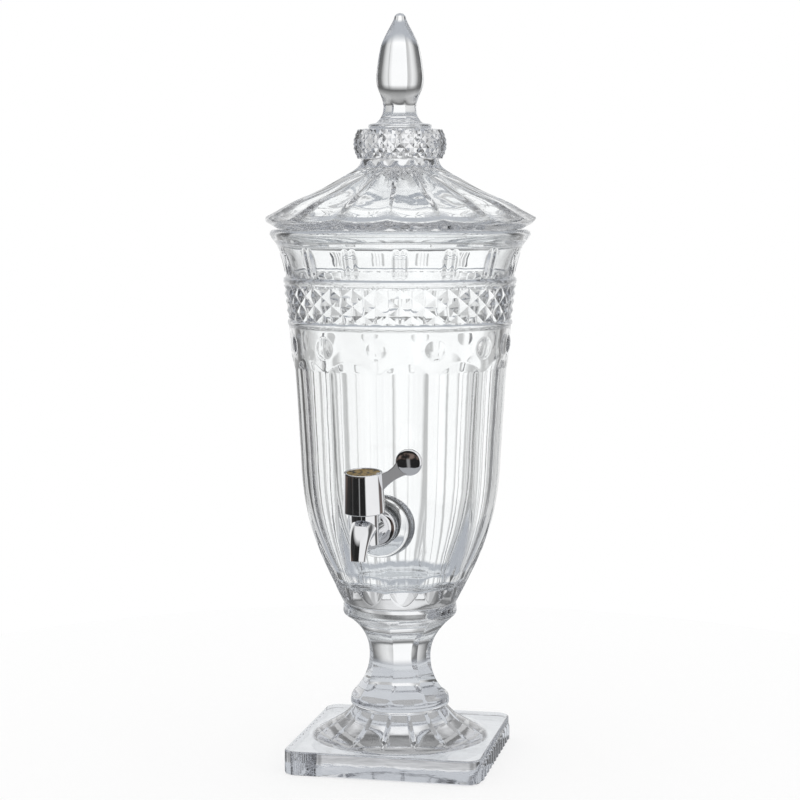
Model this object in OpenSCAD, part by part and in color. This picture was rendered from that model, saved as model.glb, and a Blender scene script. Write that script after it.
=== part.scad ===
// Pressed-glass drink dispenser: urn on an eight-sided stem and a square foot,
// loose domed lid, and a turn tap sealed through the front wall.
// The axis of the urn is Z, the underside of the foot is z = 0, the tap points to -Y.

/* [Foot and stem] */
// Side of the square foot, over the ribs
foot_w = 143; // [125:1:170]
// Thickness of the foot's slab
foot_t = 17; // [12:1:24]
// Radius of the slab's upright corners
foot_corner_r = 10; // [5:1:18]
// Ribs on each ribbed side of the slab
foot_ribs = 12; // [6:1:16]
// How far each rib stands out
foot_rib_h = 1.6; // [0.6:0.2:2.4]
// Height of the petalled cone above the slab
cone_h = 21; // [15:1:30]
// Flat border of the slab beside the petalled cone
foot_border = 7.5; // [4:0.5:16]
// Petals round the cone
petals = 16; // [8:1:24]
// Depth of the grooves between petals
petal_groove = 2.6; // [1:0.2:4]
// Largest radius of the round knop under the stem
knop_r = 35.5; // [30:0.5:42]
// Height of the knop
knop_h = 8; // [6:1:12]
// Height of the eight-sided stem
stem_h = 57; // [45:1:75]
// Radius of the stem's waist, over its corners
stem_waist_r = 22.4; // [18:0.4:28]
// Radius of the collar under the bowl
collar_r = 40.7; // [38:0.5:46]
// Height of the collar
collar_h = 10.5; // [8:0.5:16]

/* [Bowl] */
// Height of the fluted bowl, from the collar to the diamond band
bowl_h = 199.5; // [180:0.5:230]
// Outer radius of the bowl where it stands on the collar
bowl_base_r = 40.5; // [36:0.5:44]
// Outer radius of the bowl at its shoulder
shoulder_r = 78.8; // [72:0.2:86]
// Thickness of the glass floor
floor_t = 14; // [9:0.5:18]
// Wall from the ribs to the inside
wall = 6.6; // [5.4:0.2:9]
// Extra wall at the floor's corner
heel = 5; // [2:0.5:7]
// Flutes round the bowl
flutes = 12; // [8:1:16]
// Share of each flute's pitch that its rib takes
rib_share = 0.27; // [0.18:0.01:0.4]
// Depth of the flutes below the ribs
flute_depth = 2.4; // [1:0.2:3.4]
// Diameter of the round bosses above the ribs
dot_d = 15; // [8:1:18]
// Height of the round bosses
dot_h = 1.8; // [0.8:0.2:3]
// Plain glass between the round bosses and the bead over them
dot_gap = 6; // [3:0.5:8]

/* [Bands and rim] */
// Height of the bead under the diamonds
low_bead_h = 4; // [3:0.5:6]
// Diamonds round the band
diamonds = 30; // [20:2:40]
// Height of one diamond
diamond_h = 12; // [8:1:16]
// Height of the diamond points
diamond_rise = 1.8; // [1:0.2:3.4]
// Height of the bead over the diamonds
high_bead_h = 6; // [4:0.5:9]
// Panels round the flared band
panels = 15; // [10:1:20]
// Height of the flared band
panel_h = 22; // [16:1:30]
// Height of the pillars between panels
pillar_rise = 1.2; // [0.6:0.2:2.4]
// Largest radius of the rim
rim_r = 92.3; // [88:0.1:98]
// Wall of the rim
rim_wall = 7.3; // [6:0.1:9]
// Height of the plain rim
rim_h = 11; // [9:1:15]

/* [Lid] */
// How far the lid reaches past the rim
lid_over = 3.7; // [1:0.1:6]
// Height of the lid's thin rim
lid_rim_h = 8.5; // [6:0.5:12]
// Height of the fluted cone
lid_cone_h = 39.5; // [32:0.5:48]
// Radius of the neck under the ball
lid_neck_r = 27.5; // [23:0.5:31]
// Flutes round the cone
lid_flutes = 16; // [10:1:20]
// Depth of the cone's flutes
lid_flute_depth = 2.2; // [0.8:0.2:3.4]
// Glass between the ridges of the cone and the hollow under it
lid_wall = 7.5; // [6:0.5:10]
// Depth of the ring that keeps the lid on the mouth
spigot_h = 7; // [4:0.5:10]
// Wall of that ring
spigot_t = 4; // [3:0.5:6]
// Room between that ring and the mouth
spigot_gap = 1.6; // [0.8:0.2:3]
// Gap between the lid and the rim it lies on
lid_gap = 0.3; // [0.2:0.1:0.6]
// How far the lid is turned from the tap, in degrees
lid_turn = 7; // [0:1:45]
// Largest radius of the diamond-cut ball
ball_r = 32; // [28:0.5:36]
// Height of the ball
ball_h = 22.5; // [18:0.5:28]
// Diamonds round the ball
ball_diamonds = 32; // [20:4:40]
// Height of the ball's diamond points
ball_rise = 1; // [0.4:0.2:2]
// Radius of the thin disc on the ball
disc_r = 22.4; // [20:0.4:25]
// Height of the bell over the disc
bell_h = 14.5; // [11:0.5:19]
// Radius of the neck under the bud, over its corners
bud_neck_r = 12.2; // [10:0.2:14]
// Largest radius of the bud, over its corners
bud_r = 17.4; // [15:0.2:21]
// Height of the bud
bud_h = 61; // [48:1:75]
// Radius of the bead on the tip
tip_r = 4.4; // [3:0.2:6]

/* [Tap] */
// Height of the tap's inlet above the collar
tap_up = 65.5; // [58:0.5:75]
// How far the glass pad's face stands in front of the wall
pad_proud = 4.4; // [3:0.2:8]
// Radius of the glass pad over its rounded edge
pad_r = 22; // [19:0.5:25]
// Rounding of the glass pad's edge
pad_round = 4.5; // [2:0.5:5]
// Draft of the glass pad's side
pad_draft = 2.5; // [1:0.5:5]
// Distance of the valve's axis from the pad
tap_reach = 40; // [36:1:50]
// Radius of the threaded shank
shank_r = 8; // [6:0.5:9]
// Room round the shank in the glass
hole_gap = 0.4; // [0.2:0.1:0.8]
// Radius of the water way
way_r = 3.5; // [2.5:0.25:4]
// Thickness of the outer gasket
gasket_t = 2; // [1:0.5:3]
// Least thickness of the inner gasket
inner_gasket_t = 3; // [2:0.5:4]
// Radius of both gaskets
gasket_r = 14; // [12:0.5:15]
// Radius of the flange on the outer gasket
flange_r = 13; // [11:0.2:13.6]
// Thickness of the flange
flange_t = 3.2; // [2:0.2:4]
// Width of the lock nut across its flats
nut_af = 24; // [21:1:28]
// Thickness of the lock nut
nut_t = 8; // [6:0.5:12]
// How far the valve's axis leans forward, in degrees
valve_lean = 6; // [0:1:10]
// Wall of the valve barrel
barrel_wall = 3; // [2.4:0.2:4]
// Radius of the valve plug
plug_r = 6.4; // [5.4:0.2:6.6]
// Running clearance of the plug
plug_gap = 0.05; // [0.02:0.01:0.09]
// Section diameter of the sealing rings
ring_d = 1.6; // [1.2:0.1:1.8]
// Radius of the spout's mouth
spout_r = 5; // [4.5:0.25:6]
// How far the spout's mouth is in front of the valve
spout_out = 20.5; // [16:0.5:26]
// How far the spout's mouth is below the inlet
spout_drop = 14; // [12:0.5:24]
// Wall of the gland nut round the barrel
gland_wall = 1.5; // [1:0.1:2]
// Room between the gland nut and the cap that turns round it
cap_room = 0.5; // [0.3:0.1:1]
// Taper of the cap's radius
cap_taper = 1; // [0:0.2:1.6]
// Height of the cap
cap_h = 27; // [24:1:33]
// Wall of the cap
cap_wall = 1.6; // [1.2:0.2:1.8]
// Radius of the thumb disc
thumb_r = 8.9; // [7:0.1:11]
// Distance of the thumb disc's centre from the cap's side
thumb_out = 18; // [14:1:25]
// Height of the thumb disc's centre over the cap's rim
thumb_up = 7.5; // [4:0.5:11]
// Thickness of the lever
lever_t = 3.6; // [2.6:0.2:5]
// Depth of the lever's root on the cap
lever_root = 14; // [10:1:18]

/* [Hidden] */
$fn = 64;
// Cuts run this far past the faces that they open
past = 1;
// Air between pieces that are screwed or pushed together
seat_gap = 0.03;

// Heights from the floor up
slab_z = foot_t;
knop_z = slab_z + cone_h;
stem_z = knop_z + knop_h;
collar_z = stem_z + stem_h;
bowl_z = collar_z + collar_h;
low_bead_z = bowl_z + bowl_h;
diamond_z = low_bead_z + low_bead_h;
diamond_rows = 2;
high_bead_z = diamond_z + diamond_rows * diamond_h;
panel_z = high_bead_z + high_bead_h;
rim_z = panel_z + panel_h;
mouth_z = rim_z + rim_h;
floor_z = bowl_z + floor_t;
seat_z = mouth_z + lid_gap;
cone_z = seat_z + lid_rim_h;
ball_z = cone_z + lid_cone_h;
disc_z = ball_z + ball_h;
bud_z = disc_z + bell_h;
tip_z = bud_z + bud_h;

// Radii that follow from the driving sizes
cone_r = foot_w / 2 - foot_border;
mouth_r = rim_r - rim_wall;
lid_r = rim_r + lid_over;
barrel_r = plug_r + barrel_wall;
gland_r = barrel_r + gland_wall;
cap_r = gland_r + cap_room + cap_wall;

// Corners of the stem and of the bud
corners = 8;
// Points on a plain ring of the bowl, of the lid and of the pedestal
round_n = 120;
lid_n = 4 * lid_flutes;
foot_n = 4 * petals;

// Cubic curve through points of [place, value]
function span(x, p, i = 0) = i >= len(p) - 2 || x <= p[i + 1][0] ? i : span(x, p, i + 1);
function lean(p, i) =
    let (a = max(i - 1, 0), b = min(i + 1, len(p) - 1))
    (p[b][1] - p[a][1]) / (p[b][0] - p[a][0]);
function curve(x, p) =
    let (i = span(x, p), h = p[i + 1][0] - p[i][0], t = (x - p[i][0]) / h)
    p[i][1] * (1 + 2 * t) * pow(1 - t, 2) + lean(p, i) * h * t * pow(1 - t, 2)
    + p[i + 1][1] * t * t * (3 - 2 * t) + lean(p, i + 1) * h * t * t * (t - 1);
function mix(a, b, t) = a + (b - a) * t;
function clamp(x) = max(0, min(1, x));
function cyc(a, pitch) = a - pitch * floor(a / pitch + 0.5);

// Angles round the axis, from the front (-Y) towards +X
function evenly(n) = [for (i = [0:n - 1]) i * 360 / n];
function repeated(count, shares) =
    [for (k = [0:count - 1]) for (s = shares) (k + s) * 360 / count];
// One ring of points, with its radius given by a function of the angle
function ring(angles, z, radius) =
    [for (a = angles) let (r = radius(a)) [r * sin(a), -r * cos(a), z]];
function hoop(n, z, r) = ring(evenly(n), z, function (a) r);

// Triangles between a lower ring of n points and an upper ring of m points.
// Each edge goes to the point of the other ring that faces it.
function strip(a, n, b, m, flip) = concat(
    [for (i = [0:n - 1]) let (up = n == m && flip(i) ? i : floor((i + 0.5) * m / n + 0.5))
        [a + i, b + up % m, a + (i + 1) % n]],
    [for (k = [0:m - 1]) let (low = n == m && flip(k) ? k + 1 : ceil((k + 0.5) * n / m - 0.5))
        [b + k, b + (k + 1) % m, a + low % n]]);
function starts(rings, i = 0, at = 0) =
    i >= len(rings) ? [] : concat([at], starts(rings, i + 1, at + len(rings[i])));
function middle(points) = [for (axis = [0:2]) sum([for (p = points) p[axis]]) / len(points)];
function sum(list, i = 0) = i >= len(list) ? 0 : list[i] + sum(list, i + 1);

// Closed solid through a stack of rings, lowest first
module loft(rings, cut = function (j) false) {
    at = starts(rings);
    last = len(rings) - 1;
    base = at[last] + len(rings[last]);
    points = concat([for (r = rings) each r], [middle(rings[0]), middle(rings[last])]);
    sides = [for (j = [0:last - 1]) each
        strip(at[j], len(rings[j]), at[j + 1], len(rings[j + 1]),
              function (i) cut(j) && (i + j) % 2 == 0)];
    floor_fan = [for (i = [0:len(rings[0]) - 1]) [base, i, (i + 1) % len(rings[0])]];
    top_fan = [for (i = [0:len(rings[last]) - 1])
        [base + 1, at[last] + (i + 1) % len(rings[last]), at[last] + i]];
    polyhedron(points, concat(sides, floor_fan, top_fan));
}

// Bowl

// Share of the way from the base's radius to the shoulder's, against the share of the height
bowl_shape = [[0, 0], [0.1, 0.27], [0.2, 0.505], [0.31, 0.69], [0.43, 0.8], [0.58, 0.85],
              [0.8, 0.92], [1, 1]];
bowl_steps = [0, 0.02, 0.035, 0.06, 0.095, 0.14, 0.2, 0.27, 0.36, 0.48, 0.64, 0.78, 0.835,
              0.86, 0.88, 0.9];
flute_pitch = 360 / flutes;
dot_z = low_bead_z - dot_gap - dot_d / 2;
// The bands step out from the shoulder to the rim
diamond_in = 1.2;
diamond_lean = 3.2;
panel_step = 1.4;
rim_step = 4;
low_bead_rise = 1;
high_bead_rise = 1.8;
diamond_low_r = shoulder_r - diamond_in;
diamond_high_r = diamond_low_r + diamond_lean;
panel_low_r = diamond_high_r + panel_step;
panel_high_r = rim_r - rim_step;

function bowl_r(z) = mix(bowl_base_r, shoulder_r, curve(clamp((z - bowl_z) / bowl_h), bowl_shape));
// Depth of the flutes: an arc across, with arched upper ends and rounded lower ends
flute_top = 0.855;
flute_arch = 0.04;
flute_low = 0.03;
flute_fade = 0.02;
// Share of the depth that the rounded back of a rib takes
rib_round = 0.25;
function flute_cut(a, z) =
    let (s = abs(cyc(a, flute_pitch)) / flute_pitch,
         edge = rib_share / 2,
         t = clamp((s - edge) / (0.5 - edge)),
         arc = 1 - pow(1 - t, 2),
         up = (z - bowl_z) / bowl_h,
         high = clamp((flute_top + flute_arch * arc - up) / flute_fade),
         low = clamp((up - flute_low + flute_arch * (arc - 1) / 2) / flute_fade),
         rib_fall = rib_round * pow(clamp(s / edge), 2))
    flute_depth * (rib_fall + (1 - rib_round) * arc) * min(high, low);
flute_angles = repeated(flutes, [0, 0.07, 0.135, 0.26, 0.38, 0.5, 0.62, 0.74, 0.865, 0.93]);
function bowl_ring(step) =
    let (z = bowl_z + step * bowl_h)
    ring(flute_angles, z, function (a) bowl_r(z) - flute_cut(a, z));

// Ring of the diamond band: every other point is the tip of a pyramid
function diamond_ring(j) =
    let (n = 2 * diamonds, t = j / (2 * diamond_rows), r = mix(diamond_low_r, diamond_high_r, t))
    [for (i = [0:n - 1]) let (a = i * 360 / n, p = r + diamond_rise * ((i + j) % 2))
        [p * sin(a), -p * cos(a), diamond_z + j * diamond_h / 2]];

// Flared band: panels with a pair of pillars at each join
panel_angles = repeated(panels, [0, 0.17, 0.37, 0.425, 0.5, 0.575, 0.63, 0.83]);
pillar_at = 0.075;
pillar_half = 0.055;
panel_bend = 1.6;
function pillar(a) =
    let (s = 0.5 - abs(cyc(a, 360 / panels)) * panels / 360)
    pillar_rise * clamp(1 - abs(s - pillar_at) / pillar_half);
function panel_r(t) = mix(panel_low_r, panel_high_r, pow(t, panel_bend)) - pillar_rise;
function panel_ring(t, on) =
    ring(panel_angles, panel_z + t * panel_h, function (a) panel_r(t) + on * pillar(a));

function outer_rings() = concat(
    [for (s = bowl_steps) bowl_ring(s)],
    [hoop(round_n, low_bead_z - past, shoulder_r),
     hoop(round_n, low_bead_z + 0.4 * low_bead_h, shoulder_r + low_bead_rise),
     hoop(round_n, diamond_z - 0.1 * low_bead_h, diamond_low_r)],
    [for (j = [0:2 * diamond_rows]) diamond_ring(j)],
    [hoop(round_n, high_bead_z + 0.2 * high_bead_h, diamond_high_r + 0.8 * high_bead_rise),
     hoop(round_n, high_bead_z + 0.6 * high_bead_h, diamond_high_r + high_bead_rise),
     hoop(round_n, panel_z, panel_low_r - pillar_rise)],
    [panel_ring(0.06, 1), panel_ring(0.45, 1), panel_ring(0.75, 1), panel_ring(0.94, 1)],
    [hoop(round_n, rim_z, rim_r - 1.1 * rim_step),
     hoop(round_n, rim_z + 0.45 * rim_h, rim_r - 0.3 * rim_step),
     hoop(round_n, rim_z + 0.64 * rim_h, rim_r),
     hoop(round_n, rim_z + 0.82 * rim_h, rim_r - 0.1 * rim_step),
     hoop(round_n, mouth_z, rim_r - 0.75 * rim_step)]);

// Inside of the bowl, a plain revolved hollow
heel_reach = 0.35;
neck_r = shoulder_r - wall;
function inner_r(z) =
    z <= low_bead_z
    ? bowl_r(z) - wall - heel * pow(clamp(1 - (z - floor_z) / (heel_reach * bowl_h)), 2)
    : curve(z, [[low_bead_z, neck_r], [high_bead_z, mix(neck_r, mouth_r, 0.19)],
                [panel_z + panel_h / 2, mix(neck_r, mouth_r, 0.5)],
                [rim_z, mix(neck_r, mouth_r, 0.8)], [mouth_z, mouth_r]]);
inner_steps = concat([for (t = [0:0.05:0.3]) mix(floor_z, low_bead_z, t)],
                     [for (t = [0.38:0.1:1]) mix(floor_z, low_bead_z, t)],
                     [for (t = [0:0.16:0.96]) mix(low_bead_z, mouth_z, t)]);
module hollow(shrink = 0) {
    rotate_extrude()
        polygon(concat([[0, floor_z + shrink]],
                       [for (z = inner_steps) [inner_r(z) - shrink, max(z, floor_z + shrink)]],
                       [[mouth_r - shrink, mouth_z], [mouth_r - shrink, mouth_z + past],
                        [0, mouth_z + past]]));
}

module vessel() {
    dot_sphere = (pow(dot_d / 2, 2) + pow(dot_h, 2)) / (2 * dot_h);
    color("white", 0.4)
    difference() {
        union() {
            loft(outer_rings(), function (j) j >= len(bowl_steps) + 3
                 && j < len(bowl_steps) + 3 + 2 * diamond_rows);
            for (k = [0:flutes - 1])
                rotate(k * flute_pitch)
                    translate([0, dot_sphere - bowl_r(dot_z) - dot_h, dot_z]) sphere(dot_sphere);
            along_tap(pad_y)
                rotate_extrude()
                    polygon([[0, -bowl_base_r], [pad_r + 2 * pad_draft, -bowl_base_r],
                             [pad_r + pad_draft, -2 * pad_round], [pad_r, -0.7 * pad_round],
                             [pad_r - 0.4 * pad_round, -0.25 * pad_round], [pad_r - pad_round, 0], [0, 0]]);
        }
        hollow();
        along_tap(pad_y + past)
            translate([0, 0, -pad_y]) cylinder(h = pad_y + past, r = shank_r + hole_gap);
    }
}

// Pedestal

cone_shape = [[0, 1], [0.1, 0.83], [0.3, 0.55], [0.6, 0.24], [1, 0]];
// Each groove takes this share of a petal on both sides, and runs out over this share of the height
groove_share = 0.16;
groove_fade = 0.25;
knop_step = 2;
petal_angles = repeated(petals, [0, groove_share, 0.5, 1 - groove_share]);
function petal_cut(a, t) =
    let (s = abs(cyc(a, 360 / petals)) * petals / 360)
    petal_groove * clamp(1 - s / groove_share) * clamp(t / groove_fade);
function petal_ring(t) =
    let (r = mix(knop_r - knop_step, cone_r, curve(t, cone_shape)))
    ring(petal_angles, slab_z + t * cone_h, function (a) r - petal_cut(a, t));
// The stem is widest at both ends, and its waist lies under the middle
waist_share = 0.49;
stem_low_in = 0.9;
stem_high_in = 2.3;
stem_low_r = knop_r - stem_low_in;
stem_high_r = collar_r - stem_high_in;
stem_hollow = 2.2;
collar_round = 0.8;
rib_drop = 2;
function stem_r(t) =
    t < waist_share
    ? mix(stem_waist_r, stem_low_r, pow(1 - t / waist_share, stem_hollow))
    : mix(stem_waist_r, stem_high_r, pow((t - waist_share) / (1 - waist_share), stem_hollow));

module slab() {
    half = foot_w / 2 - foot_rib_h;
    corner = half - foot_corner_r;
    pitch = 2 * corner / foot_ribs;
    rib_r = pitch / 2;
    translate([-half, -corner, 0]) cube([2 * half, 2 * corner, foot_t]);
    translate([-corner, -half, 0]) cube([2 * corner, 2 * half, foot_t]);
    for (x = [-corner, corner], y = [-corner, corner])
        translate([x, y, 0]) cylinder(h = foot_t, r = foot_corner_r);
    for (side = [-1, 1], k = [0:foot_ribs - 1])
        translate([side * (half + foot_rib_h - rib_r), -corner + (k + 0.5) * pitch, 0])
            cylinder(h = foot_t - rib_drop, r = rib_r);
}

module pedestal() {
    color("white", 0.4) {
        slab();
        loft(concat(
            [hoop(foot_n, slab_z - past, cone_r - past)],
            [for (t = [0.02, 0.1, 0.3, 0.6, 0.95]) petal_ring(t)],
            [hoop(foot_n, knop_z + 0.35 * knop_h, knop_r),
             hoop(foot_n, knop_z + 0.7 * knop_h, knop_r - stem_low_in)],
            [for (t = [0.02, 0.1, 0.2, 0.32, 0.49, 0.62, 0.74, 0.84, 0.92, 1])
                hoop(corners, stem_z + t * stem_h, stem_r(t))],
            [hoop(foot_n, collar_z + 0.1 * collar_h, collar_r - 2 * collar_round),
             hoop(foot_n, collar_z + 0.3 * collar_h, collar_r),
             hoop(foot_n, collar_z + 0.75 * collar_h, collar_r),
             hoop(foot_n, bowl_z, collar_r - collar_round)]));
    }
}

// Lid

// Share of the way from the neck's radius to the rim's, against the share of the height
lid_shape = [[0, 1], [0.13, 0.86], [0.265, 0.717], [0.47, 0.443], [0.645, 0.258], [0.8, 0.1],
             [0.895, 0.027], [1, 0]];
lid_steps = [0.05, 0.13, 0.2, 0.265, 0.37, 0.47, 0.56, 0.645, 0.73, 0.8, 0.895, 0.97];
// How far the rim rounds in to the cone, and how far its underside tapers in to the seat
lid_round = 0.8;
lid_taper = 9.7;
lid_edge_r = lid_r - lid_round;
spigot_r = mouth_r - spigot_gap;
lid_angles = repeated(lid_flutes, [0, 0.25, 0.5, 0.75]);
function lid_cone_r(t) = mix(lid_neck_r, lid_edge_r, curve(t, lid_shape));
lid_high_fade = 0.12;
// The flutes are cut square to the cone's slope and run out over its edge, which they leave wavy
flute_in = 0.46;
flute_down = 0.89;
function lid_flute(a, t) =
    let (s = abs(cyc(a, 360 / lid_flutes)) * 2 * lid_flutes / 360)
    lid_flute_depth * (1 - pow(1 - s, 2)) * clamp((1 - t) / lid_high_fade);
function fluted(z, r, t) =
    [for (a = lid_angles) let (cut = lid_flute(a, t), p = r - flute_in * cut)
        [p * sin(a), -p * cos(a), z - flute_down * cut]];
function lid_ring(t) = fluted(cone_z + t * lid_cone_h, lid_cone_r(t), t);

spigot_round = 0.5;
disc_round = 0.7;
ball_rows = 3;
// Part of a circle that the ball's side follows, and the share of its height that the diamonds take
ball_start = 15;
ball_bend = 0.7;
ball_edge = 0.08;
function ball_ring(j) =
    let (n = 2 * ball_diamonds, t = j / (2 * ball_rows),
         r = mix(lid_neck_r, ball_r, pow(sin(mix(ball_start, 180 - ball_start, t)), ball_bend)))
    [for (i = [0:n - 1]) let (a = i * 360 / n, p = r + ball_rise * ((i + j) % 2))
        [p * sin(a), -p * cos(a), ball_z + mix(ball_edge, 1 - ball_edge, t) * ball_h]];

// Share of the bud's largest radius, against the share of its height
bud_shape = [[0, 0.69], [0.09, 0.755], [0.2, 0.915], [0.27, 0.985], [0.345, 1], [0.49, 0.94],
             [0.6, 0.875], [0.715, 0.775], [0.83, 0.585], [0.94, 0.37], [1, 0.24]];
bud_angles = [for (i = [0:corners - 1]) (i + 0.5) * 360 / corners];
function bud_ring(t) =
    ring(bud_angles, bud_z + t * bud_h, function (a) bud_r * curve(t, bud_shape));
bell_bend = 2.4;
function bell_ring(t) =
    ring(bud_angles, disc_z + t * bell_h,
         function (a) mix(bud_neck_r, disc_r, pow(1 - t, bell_bend)));

rim_rings = [hoop(lid_n, seat_z - spigot_h, spigot_r - spigot_round),
             hoop(lid_n, seat_z - 0.8 * spigot_h, spigot_r),
             hoop(lid_n, seat_z, spigot_r),
             hoop(lid_n, seat_z, lid_r - lid_taper),
             hoop(lid_n, seat_z + 0.52 * lid_rim_h, lid_r - 0.2 * lid_taper),
             fluted(seat_z + 0.86 * lid_rim_h, lid_r, 0),
             lid_ring(0)];
function lid_rings() = concat(
    rim_rings,
    [for (t = lid_steps) lid_ring(t)],
    [for (j = [0:2 * ball_rows]) ball_ring(j)],
    [hoop(2 * ball_diamonds, disc_z, disc_r - disc_round),
     hoop(2 * ball_diamonds, disc_z + 0.1 * bell_h, disc_r),
     hoop(2 * ball_diamonds, disc_z + 0.2 * bell_h, disc_r - disc_round)],
    [for (t = [0.26, 0.42, 0.6, 0.8]) bell_ring(t)],
    [for (t = [0, 0.09, 0.2, 0.345, 0.49, 0.6, 0.715, 0.83, 0.94, 1]) bud_ring(t)]);

module lid() {
    first_ball = len(rim_rings) + len(lid_steps);
    under_r = spigot_r - spigot_t;
    top_t = 0.85;
    top_rise = 3;
    color("white", 0.4)
    rotate(lid_turn)
    difference() {
        union() {
            loft(lid_rings(), function (j) j >= first_ball && j < first_ball + 2 * ball_rows);
            translate([0, 0, tip_z]) sphere(tip_r);
        }
        rotate_extrude()
            polygon(concat(
                [[0, seat_z - spigot_h - past], [under_r, seat_z - spigot_h - past], [under_r, seat_z]],
                [for (t = [0.13, 0.265, 0.37, 0.47, 0.56, 0.645, 0.75, top_t])
                    [min(under_r, lid_cone_r(t) - flute_in * lid_wall),
                     cone_z + t * lid_cone_h - flute_down * lid_wall]],
                [[lid_neck_r / 2, cone_z + top_t * lid_cone_h - flute_down * lid_wall + top_rise],
                 [0, cone_z + top_t * lid_cone_h - flute_down * lid_wall + 1.2 * top_rise]]));
    }
}

// Tap

tap_z = bowl_z + tap_up;
pad_y = bowl_r(tap_z) + pad_proud;
valve_y = -(pad_y + tap_reach);
flange_y = -(pad_y + gasket_t);
// The inner gasket starts where the wall is nearest to the axis, at the gasket's lower edge
nut_y = -(inner_r(tap_z - gasket_r) - inner_gasket_t);
// How far the shank reaches past the lock nut
shank_past = 2;
// Radius of the neck at the flange, and how much it falls towards the valve
neck_low_r = 8.9;
neck_taper = 0.5;
shank_end_y = nut_y + nut_t + shank_past;
// The barrel reaches down and up from the inlet, and the cap starts over the neck
barrel_down = 9;
barrel_up = 27;
cap_clear = 16.5;
barrel_low_z = tap_z - barrel_down;
barrel_top_z = tap_z + barrel_up;
cap_low_z = tap_z + cap_clear;
cap_top_z = cap_low_z + cap_h;
bore_r = plug_r + plug_gap;
barrel_floor = 1.6;
plug_low_z = barrel_low_z + barrel_floor;
plug_lift = 0.3;
// Shoulder on the plug that the gland nut holds down
shoulder_t = 2.4;
shoulder_w = 1.2;
plug_shoulder_r = plug_r + shoulder_w;
gland_t = 3;
gland_h = 8;
gland_top_z = barrel_top_z + gland_t;
// Square drive of the plug
stem_w = 6.5;
stem_drop = 6;
stem_top_z = cap_top_z - stem_drop;
stem_room = 0.3;
// Dish in the cap's top, with its disc, and the screw under it
cap_lip = 1.9;
dish_r = cap_r - cap_lip;
dish_depth = 0.5;
disc_t = 0.8;
disc_low_z = cap_top_z - dish_depth - disc_t;
screw_r = 1.5;
screw_l = 12;
screw_head_r = 2.8;
screw_head_h = 1.6;
screw_room = 0.2;
screw_head_z = disc_low_z - screw_head_h - seat_gap;
slot_l = 3.2;
slot_w = 0.7;
slot_depth = 1.1;
// Sealing rings over and under the cross way
ring_seat_r = plug_r - ring_d;
ring_off = 5.2;
ring_low_z = tap_z - ring_off;
ring_high_z = tap_z + ring_off;

// Turns +Z to point out of the wall, from a face at the given distance, at the tap's height
module along_tap(face_y) {
    translate([0, -face_y, tap_z]) rotate([90, 0, 0]) children();
}
// Puts the valve's axis on Z. The axis leans about the point where it meets the inlet.
module at_valve() {
    translate([0, valve_y, tap_z]) rotate([valve_lean, 0, 0]) translate([0, 0, -tap_z]) children();
}

// Spout: circles along a bend from the barrel to the mouth
spout_n = 24;
spout_steps = 8;
horn_up = 5.5;
way_up = 5;
horn_root_r = barrel_r - 0.1;
spout_end = [valve_y - spout_out, tap_z - spout_drop];
horn_bend = [[valve_y, tap_z + horn_up], [valve_y - 0.8 * spout_out, tap_z + horn_up], spout_end];
way_bend = [[valve_y, tap_z], [valve_y - 0.8 * spout_out, tap_z + way_up], spout_end];
function bend(p, t) = pow(1 - t, 2) * p[0] + 2 * t * (1 - t) * p[1] + t * t * p[2];
function heading(p, t) = (1 - t) * (p[1] - p[0]) + t * (p[2] - p[1]);
function spout_ring(p, t, r) =
    let (c = bend(p, t), d = heading(p, t) / norm(heading(p, t)))
    [for (i = [0:spout_n - 1]) let (a = i * 360 / spout_n)
        [r * sin(a), c[0] - r * cos(a) * d[1], c[1] + r * cos(a) * d[0]]];

module tap_body() {
    neck_l = tap_reach - gasket_t - flange_t;
    color("silver")
    difference() {
        union() {
            // Threaded shank through the wall
            along_tap(-flange_y)
                mirror([0, 0, 1]) cylinder(h = shank_end_y - flange_y, r = shank_r);
            // Flange and the neck behind the barrel
            along_tap(-flange_y) cylinder(h = flange_t, r = flange_r);
            along_tap(-flange_y + flange_t)
                cylinder(h = neck_l, r1 = neck_low_r, r2 = neck_low_r - neck_taper);
            at_valve() translate([0, 0, barrel_low_z])
                cylinder(h = barrel_top_z - barrel_low_z, r = barrel_r);
            loft([for (i = [0:spout_steps]) let (t = i / spout_steps)
                spout_ring(horn_bend, t, mix(horn_root_r, spout_r, t))]);
        }
        at_valve() translate([0, 0, plug_low_z]) cylinder(h = barrel_top_z, r = bore_r);
        at_valve() translate([0, 0, barrel_top_z - shoulder_t])
            cylinder(h = shoulder_t + past, r = plug_shoulder_r + plug_gap);
        // Water way in, and out through the spout
        along_tap(-shank_end_y - past) cylinder(h = shank_end_y - valve_y + past, r = way_r);
        loft([for (i = [0:spout_steps + 1]) spout_ring(way_bend, i / spout_steps, way_r)]);
    }
}

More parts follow.
